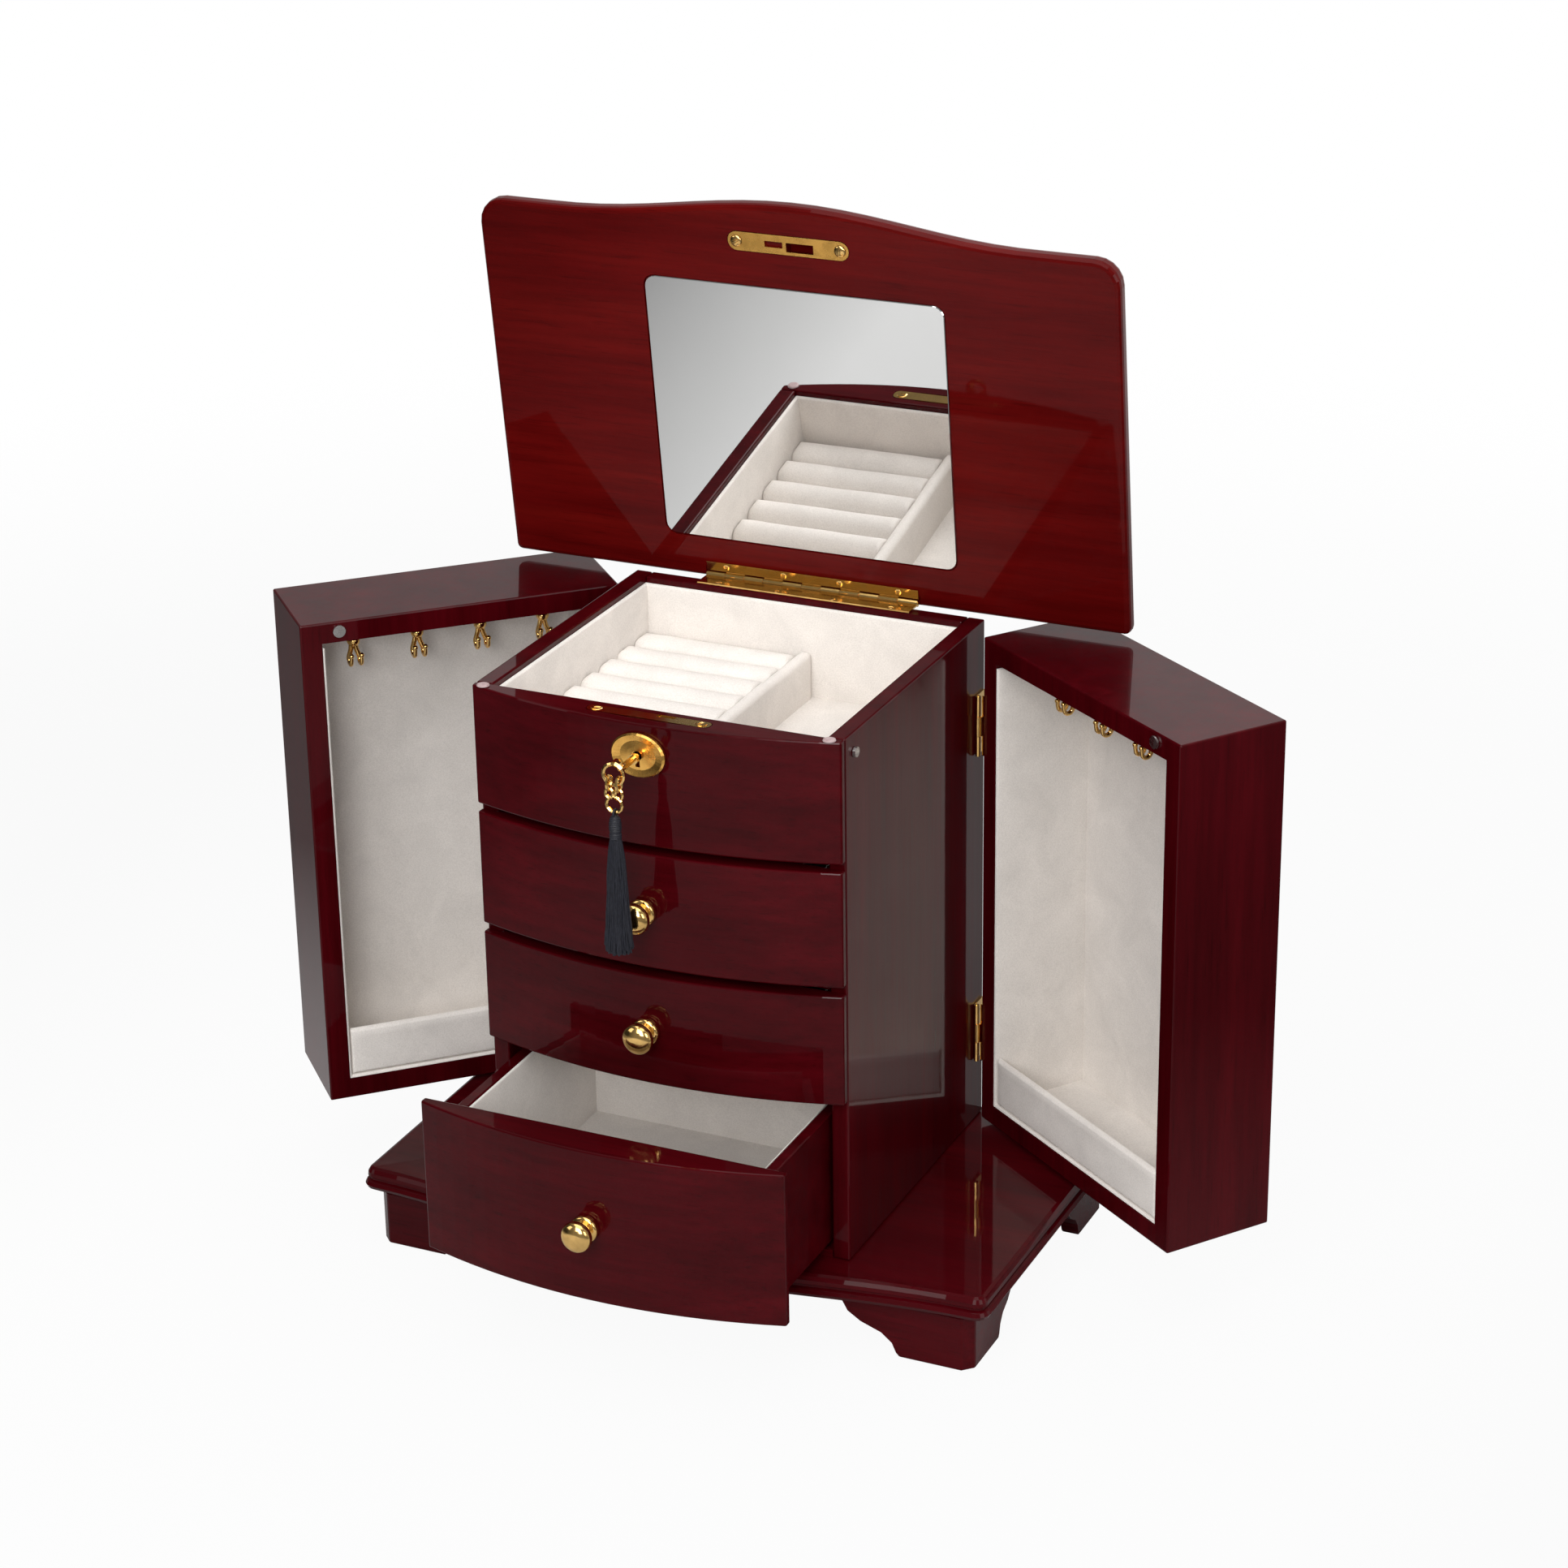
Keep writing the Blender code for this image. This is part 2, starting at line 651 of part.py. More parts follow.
def make_lid():
    axis = pivot("lid_hinge_axis", (0, LID_AXIS_Y, LID_AXIS_Z))
    edge_profile = (
        (2.6, 0.0),
        (1.2, 0.4),
        (0.35, 1.3),
        (0.0, 2.7),
        (0.0, 5.8),
        (0.35, 7.2),
        (1.2, 8.1),
        (2.6, 8.5),
    )
    loops = []
    for inset, rise in edge_profile:
        plan = shaped_plan(LID_HALF, lid_front, LID_REAR, LID_CORNER_R, 3.0, inset)
        loops.append([(x, y, LID_BOTTOM + rise) for x, y in plan])
    board = rings("lid_board", loops, "cherry_lacquer", axis)
    near = LID_AXIS_Y - MIRROR_NEAR
    far = LID_AXIS_Y - MIRROR_FAR
    recess = rounded(-MIRROR_HALF - GAP, MIRROR_HALF + GAP, far - GAP, near + GAP, 6.3)
    recess_top = LID_BOTTOM + MIRROR_T + GAP
    mirror_pocket = prism("lid_mirror_pocket", recess, LID_BOTTOM - 3, recess_top, "velvet", axis)
    strike = rounded(-31.3, 31.3, STRIKE_Y - 5.0, STRIKE_Y + 5.0, 4.8)
    strike_pocket = prism("lid_strike_pocket", strike, LID_BOTTOM - 3, LID_BOTTOM + 1.2, "brass", axis)
    bolt_hole = box("lid_bolt_hole", (-1.6, -5, LID_BOTTOM - 2), (13.6, 1, LID_BOTTOM + 6.5), "brass", axis)
    relief = box(
        "lid_barrel_relief",
        (-PIANO_HALF - 1, LID_AXIS_Y - 3.4, LID_BOTTOM - 2),
        (PIANO_HALF + 1, LID_REAR + 4, LID_BOTTOM + 1.2),
        "brass",
        axis,
    )
    cut(board, mirror_pocket, strike_pocket, bolt_hole, relief)
    glass_plan = rounded(-MIRROR_HALF, MIRROR_HALF, far, near, 6.0)
    mirror = prism("lid_mirror", glass_plan, LID_BOTTOM, LID_BOTTOM + MIRROR_T, "mirror_glass", axis)
    bevel(mirror, 0.7, 1)
    plate_plan = rounded(-31.0, 31.0, STRIKE_Y - 4.7, STRIKE_Y + 4.7, 4.6)
    plate = prism("strike_plate", plate_plan, LID_BOTTOM - 0.1, LID_BOTTOM + 0.9, "brass", axis)
    for name, x0, x1, depth in (("strike_slot_a", -1.0, 13.0, 3.2), ("strike_slot_b", -12.0, -2.8, 1.6)):
        low = (x0, STRIKE_Y - 1.4, LID_BOTTOM - 3)
        cut(plate, box(name, low, (x1, STRIKE_Y + depth, LID_BOTTOM + 3), "brass", axis))
    screws = []
    for i, x in enumerate((-26.6, 26.6)):
        start = (x, STRIKE_Y, LID_BOTTOM - 0.6)
        end = (x, STRIKE_Y, LID_BOTTOM + 0.4)
        screws.append(rod(f"strike_screw_{i}", start, end, 2.4, "brass", axis, 16))
    fuse(plate, *screws)
    make_lid_hinge(axis)
    axis.rotation_euler.x = math.radians(-LID_OPEN)
    return axis


def make_lid_hinge(axis):
    step = 2 * PIANO_HALF / PIANO_KNUCKLES
    start = (-PIANO_HALF, LID_AXIS_Y, LID_AXIS_Z)
    along = (1, 0, 0)
    cabinet = box(
        "lid_hinge_cabinet_leaf",
        (-PIANO_HALF, LID_AXIS_Y - 11.6, RIM + 0.25),
        (PIANO_HALF, LID_AXIS_Y - PIANO_R - 0.45, RIM + 0.25 + PIANO_LEAF_T),
        "brass",
    )
    tongues = []
    for i in range(0, PIANO_KNUCKLES, 2):
        x = -PIANO_HALF + step * i
        low = (x + 0.12, LID_AXIS_Y - PIANO_R - 0.9, RIM + 0.25)
        high = (x + step - 0.12, LID_AXIS_Y - 0.6, RIM + 0.25 + PIANO_LEAF_T)
        tongues.append(box(f"cabinet_tongue_{i}", low, high, "brass"))
    pin = rod("lid_hinge_pin", start, (PIANO_HALF, LID_AXIS_Y, LID_AXIS_Z), PIANO_PIN_R, "brass", None, 12)
    odd = knuckles("cabinet", along, PIANO_R, PIANO_KNUCKLES, 0, start, step, "brass", None)
    fuse(cabinet, *tongues, *odd, pin)
    lid = box(
        "lid_hinge_lid_leaf",
        (-PIANO_HALF, LID_AXIS_Y - PIANO_LEAF_REACH, LID_BOTTOM - 0.25 - PIANO_LEAF_T),
        (PIANO_HALF, LID_AXIS_Y - PIANO_R - 0.45, LID_BOTTOM - 0.25),
        "brass",
        axis,
    )
    tongues = []
    for i in range(1, PIANO_KNUCKLES, 2):
        x = -PIANO_HALF + step * i
        low = (x + 0.12, LID_AXIS_Y - PIANO_R - 0.9, LID_BOTTOM - 0.25 - PIANO_LEAF_T)
        high = (x + step - 0.12, LID_AXIS_Y - 0.6, LID_BOTTOM - 0.25)
        tongues.append(box(f"lid_tongue_{i}", low, high, "brass", axis))
    even = knuckles("lid", along, PIANO_R, PIANO_KNUCKLES, 1, start, step, "brass", axis)
    fuse(lid, *tongues, *even)
    bore_start = (-PIANO_HALF - 2, LID_AXIS_Y, LID_AXIS_Z)
    bore_end = (PIANO_HALF + 2, LID_AXIS_Y, LID_AXIS_Z)
    bore = rod("lid_hinge_bore", bore_start, bore_end, 0.95, "brass", axis, 12)
    cut(lid, bore)


def j_hook(name, a_x, y, top, side, slot, parent):
    """One upturned prong: straight down, round towards the cabinet and up."""
    path = [(a_x, y, top), (a_x, y, top - 6.5)]
    for k in range(1, 5):
        turn = math.radians(180 + 45 * k)
        path.append((a_x - side * (2.4 + 2.4 * math.cos(turn)), y, top - 6.5 + 2.4 * math.sin(turn)))
    path.append((a_x - side * 5.2, y, top - 4.4))
    return tube(name, path, 0.85, slot, parent)


def make_hooks(name, side, axis):
    x = side * (HALF_W + DOOR_GAP + HOOK_B)
    top = DOOR_HIGH - DOOR_FRAME - GAP
    middle = DOOR_BACK - DOOR_LEN / 2
    reach = 1.5 * HOOK_SPACING + 8
    x0, x1 = sorted((x - side * 3.5, x + side * 3.5))
    rail = box(name + "_hooks", (x0, middle - reach, top - 1.6), (x1, middle + reach, top), "brass", axis)
    pieces = []
    for i in range(4):
        y = middle + HOOK_SPACING * (i - 1.5)
        pieces.append(rod(f"{name}_stem_{i}", (x, y, top - 1), (x, y, top - 10), 1.1, "brass", axis, 10))
        low = (x - 1.0, y - 3.0, top - 15.5)
        pieces.append(box(f"{name}_hook_plate_{i}", low, (x + 1.0, y + 3.0, top - 9), "brass", axis))
        for j in (-1, 1):
            pieces.append(j_hook(f"{name}_prong_{i}_{j}", x, y + 2.1 * j, top - 13, side, "brass", axis))
    fuse(rail, *pieces)


def make_butt_hinge(name, side, z_mid, axis):
    """One leaf on the cabinet's side behind the barrel, the other on the door's rear edge."""
    third = BUTT_H / 3
    z0 = z_mid - BUTT_H / 2
    z1 = z_mid + BUTT_H / 2
    low_end = (side * DOOR_AXIS_X, DOOR_AXIS_Y, z0)
    high_end = (side * DOOR_AXIS_X, DOOR_AXIS_Y, z1)
    x0, x1 = sorted((side * (HALF_W + 0.25), side * (HALF_W + 1.05)))
    front = DOOR_AXIS_Y + BUTT_R + 0.35
    fixed = box(name + "_cabinet_leaf", (x0, front, z0), (x1, DOOR_AXIS_Y + 10.0, z1), "brass")
    pieces = []
    for i in (0, 2):
        low = (x0, DOOR_AXIS_Y + 0.5, z0 + third * i + 0.2)
        high = (x1, DOOR_AXIS_Y + BUTT_R + 0.8, z0 + third * (i + 1) - 0.2)
        pieces.append(box(f"{name}_fixed_tongue_{i}", low, high, "brass"))
    pieces.append(rod(name + "_pin", low_end, high_end, 0.65, "brass", None, 12))
    pieces += knuckles(name + "_fixed", (0, 0, 1), BUTT_R, 3, 0, low_end, third, "brass", None)
    fuse(fixed, *pieces)
    y0 = DOOR_BACK + 0.25
    y1 = y0 + 0.8
    reach = side * DOOR_AXIS_X
    x0, x1 = sorted((reach + side * (BUTT_R + 0.35), reach + side * 10.5))
    swung = box(name + "_door_leaf", (x0, y0, z0), (x1, y1, z1), "brass", axis)
    x0, x1 = sorted((reach + side * 0.5, reach + side * (BUTT_R + 0.8)))
    low = (x0, y0, z0 + third + 0.2)
    high = (x1, y1, z0 + third * 2 - 0.2)
    tongue = box(f"{name}_swung_tongue", low, high, "brass", axis)
    middle = knuckles(name + "_swung", (0, 0, 1), BUTT_R, 3, 1, low_end, third, "brass", axis)
    fuse(swung, tongue, *middle)
    start = (low_end[0], low_end[1], z0 - 2)
    bore = rod(name + "_bore", start, (low_end[0], low_end[1], z1 + 2), 0.8, "brass", axis, 12)
    cut(swung, bore)


def make_door(door):
    name = door["name"]
    side = door["side"]
    axis = pivot(name + "_axis", (side * DOOR_AXIS_X, DOOR_AXIS_Y, BASE_TOP))
    near = HALF_W + DOOR_GAP
    far = near + DOOR_DEPTH

    def span(b0, b1):
        return sorted((side * b0, side * b1))

    front = DOOR_BACK - DOOR_LEN
    x0, x1 = span(near, far)
    low = (x0, front, DOOR_LOW)
    case = box(name + "_case", low, (x1, DOOR_BACK, DOOR_HIGH), "cherry_lacquer", axis, EDGE)
    f = DOOR_FRAME
    x0, x1 = span(near - 5, far - DOOR_PANEL)
    low = (x0, front + f, DOOR_LOW + f)
    hollow = box(name + "_hollow", low, (x1, DOOR_BACK - f, DOOR_HIGH - f), "velvet", axis)
    cut(case, hollow)
    g = f + GAP
    x0, x1 = span(near + 0.4, far - DOOR_PANEL - GAP)
    low = (x0, front + g, DOOR_LOW + g)
    lining = box(name + "_lining", low, (x1, DOOR_BACK - g, DOOR_HIGH - g - 2.2), "velvet", axis)
    t = g + DOOR_LINING_T
    x0, x1 = span(near - 5, far - DOOR_PANEL - GAP - DOOR_LINING_T)
    low = (x0, front + t, DOOR_LOW + t)
    core = box(name + "_core", low, (x1, DOOR_BACK - t, DOOR_HIGH + 5), "velvet", axis)
    cut(lining, core)
    x0, x1 = span(near + 0.4, near + 0.4 + POCKET_T)
    low = (x0, front + t + GAP, DOOR_LOW + t + GAP)
    high = (x1, DOOR_BACK - t - GAP, DOOR_LOW + f + POCKET_H)
    box(name + "_pocket", low, high, "velvet", axis, 0.6)
    make_hooks(name, side, axis)
    catch_z = RIM - 9.2
    catch_y = DOOR_BACK - 142.5
    a, b = side * (near - 0.3), side * (near - 1.3)
    rod(name + "_magnet", (a, catch_y, catch_z), (b, catch_y, catch_z), 3.1, "magnet_steel", axis, 24)
    a, b = side * (HALF_W + 0.3), side * (HALF_W + 1.8)
    rod(name + "_catch", (a, catch_y, catch_z), (b, catch_y, catch_z), 2.4, "magnet_steel", None, 16)
    for level, z_mid in zip(("upper", "lower"), BUTT_ZS):
        make_butt_hinge(f"{name}_{level}_hinge", side, z_mid, axis)
    axis.rotation_euler.z = math.radians(side * door["open"])
    return axis


def make_drawer(drawer):
    name = drawer["name"]
    axis = pivot(name + "_slide_axis", (0, 0, RIM - drawer["bottom"]))
    low = RIM - drawer["bottom"]
    high = RIM - drawer["top"]
    face = prism(name + "_front", bowed_plan(HALF_W - 0.1, FRONT_BACK_Y), low, high, "cherry_lacquer", axis)
    bevel(face, EDGE)
    x = BOX_HALF
    y0 = FRONT_BACK_Y + GAP
    z0 = low + 3.6
    z1 = high - 7.0
    body = box(name + "_box", (-x, y0, z0), (x, BOX_BACK, z1), "cherry_lacquer", axis)
    w = BOX_WALL
    low_corner = (-x + w, y0 + 3.4, z0 + BOX_FLOOR)
    hollow = box(name + "_hollow", low_corner, (x - w, BOX_BACK - w, z1 + 5), "velvet", axis)
    cut(body, hollow)
    bevel(body, 0.5, 1)
    g = GAP
    skin = box(
        name + "_lining",
        (-x + w + g, y0 + 3.4 + g, z0 + BOX_FLOOR + g),
        (x - w - g, BOX_BACK - w - g, z1 - 0.5),
        "velvet",
        axis,
    )
    g = GAP + LINING_T
    core = box(
        name + "_core",
        (-x + w + g, y0 + 3.4 + g, z0 + BOX_FLOOR + g),
        (x - w - g, BOX_BACK - w - g, z1 + 5),
        "velvet",
        axis,
    )
    cut(skin, core)
    profile = (
        (0.0, 17.2),
        (4.2, 16.6),
        (6.5, 14.6),
        (7.1, 12.0),
        (6.2, 9.4),
        (3.9, 7.4),
        (3.8, 5.6),
        (6.5, 4.2),
        (7.0, 2.6),
        (6.3, 0.8),
        (4.0, 0.0),
        (0.0, 0.0),
    )
    at = (0, -BOW - GAP, (low + high) / 2)
    lathe(name + "_knob", profile, "brass", at, axis, (math.radians(90), 0, 0), 20)
    axis.location.y -= drawer["out"] * MM
    return axis


def centre_on_bounds():
    """Moves every root so that the whole stands on z = 0 and is centred on x and y."""
    bpy.context.view_layer.update()
    graph = bpy.context.evaluated_depsgraph_get()
    low = Vector((1e9, 1e9, 1e9))
    high = -low
    for made in PARTS.objects:
        if made.type != "MESH":
            continue
        shape = made.evaluated_get(graph)
        for vertex in shape.data.vertices:
            spot = shape.matrix_world @ vertex.co
            low = Vector(map(min, low, spot))
            high = Vector(map(max, high, spot))
    shift = Vector((-(low.x + high.x) / 2, -(low.y + high.y) / 2, -low.z))
    for made in list(PARTS.objects) + list(CUTTERS.objects):
        if made.parent is None:
            made.location += shift
    print("centre shift in mm:", [round(value / MM, 4) for value in shift])


make_base()
make_cabinet()
make_fascia()
make_lock()
make_escutcheon()
make_key()
make_tassel()
make_tray()
make_lid()
for entry in DOORS:
    make_door(entry)
for entry in DRAWERS:
    make_drawer(entry)
centre_on_bounds()
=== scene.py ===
import json
import math
import random

import bmesh
import bpy
from mathutils import Matrix, Vector, noise


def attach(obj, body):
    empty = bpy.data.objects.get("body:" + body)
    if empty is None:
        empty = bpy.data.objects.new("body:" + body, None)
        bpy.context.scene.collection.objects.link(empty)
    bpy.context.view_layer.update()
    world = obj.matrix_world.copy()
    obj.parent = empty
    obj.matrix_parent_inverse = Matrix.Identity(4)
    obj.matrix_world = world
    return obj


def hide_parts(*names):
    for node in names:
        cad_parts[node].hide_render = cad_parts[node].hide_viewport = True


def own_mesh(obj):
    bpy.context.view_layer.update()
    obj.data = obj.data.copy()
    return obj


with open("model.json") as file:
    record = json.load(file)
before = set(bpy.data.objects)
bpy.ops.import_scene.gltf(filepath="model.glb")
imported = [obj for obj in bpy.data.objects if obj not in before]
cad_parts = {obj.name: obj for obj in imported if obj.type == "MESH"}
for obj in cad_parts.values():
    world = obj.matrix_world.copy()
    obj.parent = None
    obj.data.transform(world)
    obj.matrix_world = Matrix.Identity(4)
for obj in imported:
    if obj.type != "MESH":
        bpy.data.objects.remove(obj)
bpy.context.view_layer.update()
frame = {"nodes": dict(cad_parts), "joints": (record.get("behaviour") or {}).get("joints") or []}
NODES = frame["nodes"]
JOINTS = {joint["name"]: joint for joint in frame["joints"]}
SCENE = bpy.context.scene
MM = 0.001

# ------------------------------------------------ the cabinet's own frame, in millimetres
# x = 0 is its middle, y = 0 its front corners and z = 0 the floor.
# Every added piece is laid out in it with the lid, doors and drawers closed.
RIM = 305.0
LID_AXIS = (0.0, 174.6, RIM + 1.2)
DOOR_AXIS = (94.7, 158.0, 0.0)
LID_OPEN = 82.5
LEFT_OPEN = 45.7
RIGHT_OPEN = 54.5
DRAWER_OUT = 66.6
DRAWER_FRONTS = ((63.4, 120.6), (125.0, 180.4), (183.6, 261.1))  # top and bottom, below the rim
SIDE_DOORS = (("door_left", -1), ("door_right", 1))  # name, and the sign of its x

shift = Vector(JOINTS["lid_hinge"]["pos_m"]) - Vector(LID_AXIS) * MM
CABINET = Matrix.Translation(shift) @ Matrix.Diagonal((MM, MM, MM, 1.0))


def turned(degrees, axis, about):
    """A turn in the cabinet's frame about an axis through a point."""
    spot = Vector(about)
    turn = Matrix.Rotation(math.radians(degrees), 4, axis)
    return Matrix.Translation(spot) @ turn @ Matrix.Translation(-spot)


REST = {
    "cabinet": CABINET,
    "key": CABINET,
    "key_tassel": CABINET,
    "drawer_1": CABINET,
    "drawer_2": CABINET,
    "drawer_3": CABINET @ Matrix.Translation((0, -DRAWER_OUT, 0)),
    "lid": CABINET @ turned(-LID_OPEN, "X", LID_AXIS),
    "door_left": CABINET @ turned(-LEFT_OPEN, "Z", (-DOOR_AXIS[0], DOOR_AXIS[1], 0)),
    "door_right": CABINET @ turned(RIGHT_OPEN, "Z", DOOR_AXIS),
}

# ------------------------------------------------ camera, floor and lights
CAMERA_AT = Vector((0.73770, -1.50662, 0.95506))
CAMERA_YAW = 0.4362
CAMERA_PITCH = -0.3981
CAMERA_ROLL = -0.0156
CAMERA_LENS = 89.295
FLOOR_RADIUS = 1.7
FADE_FROM, FADE_TO = 0.75, 1.6  # metres from the middle over which the floor fades out
FLOOR_GLOW = 0.94  # share of plain white in what the camera sees of the floor
FLOOR_SHADE_HALF = 0.8  # the floor's painted shade runs from this far left to this far right
ROOM_FRONT = 0.22  # strength of the surroundings that the gloss reflects
ROOM_BACK = 0.95
ROOM_LEFT = 0.12  # factor on the left side's strength


def make_camera():
    ahead = Vector(
        (
            -math.sin(CAMERA_YAW) * math.cos(CAMERA_PITCH),
            math.cos(CAMERA_YAW) * math.cos(CAMERA_PITCH),
            math.sin(CAMERA_PITCH),
        )
    )
    right = ahead.cross(Vector((0, 0, 1))).normalized()
    up = right.cross(ahead)
    across = right * math.cos(CAMERA_ROLL) + up * math.sin(CAMERA_ROLL)
    above = up * math.cos(CAMERA_ROLL) - right * math.sin(CAMERA_ROLL)
    data = bpy.data.cameras.new("camera")
    data.lens = CAMERA_LENS
    data.sensor_width = 36.0
    data.clip_start = 0.05
    made = bpy.data.objects.new("camera", data)
    SCENE.collection.objects.link(made)
    turn = Matrix((across, above, -ahead)).transposed().to_4x4()
    made.matrix_world = Matrix.Translation(CAMERA_AT) @ turn
    SCENE.camera = made


def material(name):
    made = bpy.data.materials.new(name)
    made.use_nodes = True
    tree = made.node_tree
    return made, tree.nodes, tree.links, tree.nodes["Principled BSDF"]


def ranged(nodes, links, value, start, end, to_start=0.0, to_end=1.0):
    """Maps a value from start and end to to_start and to_end, and clamps it there."""
    made = nodes.new("ShaderNodeMapRange")
    made.inputs["From Min"].default_value = start
    made.inputs["From Max"].default_value = end
    made.inputs["To Min"].default_value = to_start
    made.inputs["To Max"].default_value = to_end
    links.new(value, made.inputs["Value"])
    return made


def make_floor():
    """A pale sheet that fades out before its edge shows."""
    form = bmesh.new()
    bmesh.ops.create_circle(form, cap_ends=True, radius=FLOOR_RADIUS, segments=96)
    mesh = bpy.data.meshes.new("floor")
    form.to_mesh(mesh)
    form.free()
    floor = bpy.data.objects.new("floor", mesh)
    SCENE.collection.objects.link(floor)
    floor.location = (0, 0, -0.0004)
    made, nodes, links, shader = material("floor_paper")
    shader.inputs["Roughness"].default_value = 0.9
    shader.inputs["Specular IOR Level"].default_value = 0.1
    grain = nodes.new("ShaderNodeTexNoise")
    grain.inputs["Scale"].default_value = 900.0
    bump = nodes.new("ShaderNodeBump")
    bump.inputs["Strength"].default_value = 0.05
    bump.inputs["Distance"].default_value = 0.0002
    links.new(grain.outputs["Fac"], bump.inputs["Height"])
    links.new(bump.outputs["Normal"], shader.inputs["Normal"])
    where = nodes.new("ShaderNodeTexCoord")
    reach = nodes.new("ShaderNodeVectorMath")
    reach.operation = "LENGTH"
    links.new(where.outputs["Object"], reach.inputs[0])
    fade = ranged(nodes, links, reach.outputs["Value"], FADE_FROM, FADE_TO)
    fade.interpolation_type = "SMOOTHSTEP"
    split = nodes.new("ShaderNodeSeparateXYZ")
    links.new(where.outputs["Object"], split.inputs[0])
    # Painted shade: the floor's colour is darker toward its left and right sides, which dims what
    # the gloss reflects of it there
    shade = nodes.new("ShaderNodeValToRGB")
    band = ranged(nodes, links, split.outputs["X"], -FLOOR_SHADE_HALF, FLOOR_SHADE_HALF)
    links.new(band.outputs["Result"], shade.inputs["Fac"])
    for element, (at, value) in zip(shade.color_ramp.elements, ((0.14, 0.14), (0.31, 0.55))):
        element.position = at
        element.color = (value, value, value, 1)
    for at, value in ((0.70, 0.46), (0.86, 0.10)):
        shade.color_ramp.elements.new(at).color = (value, value, value, 1)
    links.new(shade.outputs["Color"], shader.inputs["Base Color"])
    path = nodes.new("ShaderNodeLightPath")
    lift = nodes.new("ShaderNodeMath")
    lift.operation = "MULTIPLY"
    lift.inputs[1].default_value = FLOOR_GLOW
    links.new(path.outputs["Is Camera Ray"], lift.inputs[0])
    glow = nodes.new("ShaderNodeEmission")
    glow.inputs["Color"].default_value = (1, 1, 1, 1)
    paper = nodes.new("ShaderNodeMixShader")
    links.new(lift.outputs[0], paper.inputs[0])
    links.new(shader.outputs[0], paper.inputs[1])
    links.new(glow.outputs[0], paper.inputs[2])
    clear = nodes.new("ShaderNodeBsdfTransparent")
    whole = nodes.new("ShaderNodeMixShader")
    links.new(fade.outputs["Result"], whole.inputs[0])
    links.new(paper.outputs[0], whole.inputs[1])
    links.new(clear.outputs[0], whole.inputs[2])
    links.new(whole.outputs[0], nodes["Material Output"].inputs["Surface"])
    mesh.materials.append(made)


def area_light(name, at, toward, size, power):
    """A white square panel, size metres wide, that faces the point toward."""
    data = bpy.data.lights.new(name, "AREA")
    data.energy = power
    data.shape = "SQUARE"
    data.size = size
    lamp = bpy.data.objects.new(name, data)
    SCENE.collection.objects.link(lamp)
    lamp.location = at
    lamp.rotation_mode = "QUATERNION"
    lamp.rotation_quaternion = (Vector(toward) - Vector(at)).to_track_quat("-Z", "Y")


def make_world():
    """White to the camera. The gloss reflects a bright backdrop behind and a dim room in front
    and to the left."""
    world = bpy.data.worlds.new("studio")
    SCENE.world = world
    world.use_nodes = True
    nodes, links = world.node_tree.nodes, world.node_tree.links
    backdrop = nodes["Background"]
    backdrop.inputs["Color"].default_value = (1.0, 1.0, 1.0, 1)
    where = nodes.new("ShaderNodeTexCoord")
    split = nodes.new("ShaderNodeSeparateXYZ")
    links.new(where.outputs["Generated"], split.inputs[0])
    depth = ranged(nodes, links, split.outputs["Y"], -0.25, 0.6, ROOM_FRONT, ROOM_BACK)
    side = ranged(nodes, links, split.outputs["X"], -0.8, -0.3, ROOM_LEFT)
    both = nodes.new("ShaderNodeMath")
    both.operation = "MULTIPLY"
    links.new(depth.outputs["Result"], both.inputs[0])
    links.new(side.outputs["Result"], both.inputs[1])
    room = nodes.new("ShaderNodeBackground")
    room.inputs["Color"].default_value = (1.0, 0.99, 0.985, 1)
    links.new(both.outputs[0], room.inputs["Strength"])
    path = nodes.new("ShaderNodeLightPath")
    mix = nodes.new("ShaderNodeMixShader")
    links.new(path.outputs["Is Camera Ray"], mix.inputs[0])
    links.new(room.outputs[0], mix.inputs[1])
    links.new(backdrop.outputs[0], mix.inputs[2])
    links.new(mix.outputs[0], nodes["World Output"].inputs["Surface"])


def make_studio():
    make_camera()
    make_floor()
    make_world()
    area_light("overhead", (0.1, -0.2, 1.9), (0, 0, 0.2), 1.6, 15.0)
    area_light("front_top", (0.25, -2.1, 1.9), (0, 0, 0.15), 1.5, 34.0)
    area_light("key_left", (-1.7, -1.3, 1.3), (0, 0, 0.2), 1.0, 5.0)
    area_light("fill_right", (1.9, -1.1, 1.1), (0, 0, 0.2), 1.0, 11.0)
    area_light("front_low", (0.5, -1.7, 0.9), (0, 0, 0.1), 0.5, 9.0)
    SCENE.view_settings.view_transform = "Standard"
    SCENE.view_settings.look = "None"


# ------------------------------------------------ materials
PLAIN = (1, 1, 1)


def mapped(nodes, links, scale):
    """Object coordinates, in metres, stretched by scale."""
    where = nodes.new("ShaderNodeTexCoord")
    stretch = nodes.new("ShaderNodeMapping")
    stretch.inputs["Scale"].default_value = scale
    links.new(where.outputs["Object"], stretch.inputs["Vector"])
    return stretch.outputs["Vector"]


def noise_of(nodes, links, vector, scale, detail=4.0, rough=0.55, distortion=0.0):
    made = nodes.new("ShaderNodeTexNoise")
    made.inputs["Scale"].default_value = scale
    made.inputs["Detail"].default_value = detail
    made.inputs["Roughness"].default_value = rough
    made.inputs["Distortion"].default_value = distortion
    links.new(vector, made.inputs["Vector"])
    return made.outputs["Fac"]


def ramp_of(nodes, links, factor, stops):
    made = nodes.new("ShaderNodeValToRGB")
    ramp = made.color_ramp
    while len(ramp.elements) < len(stops):
        ramp.elements.new(0.5)
    for element, (at, colour) in zip(ramp.elements, stops):
        element.position = at
        element.color = (*colour, 1)
    links.new(factor, made.inputs["Fac"])
    return made.outputs["Color"]


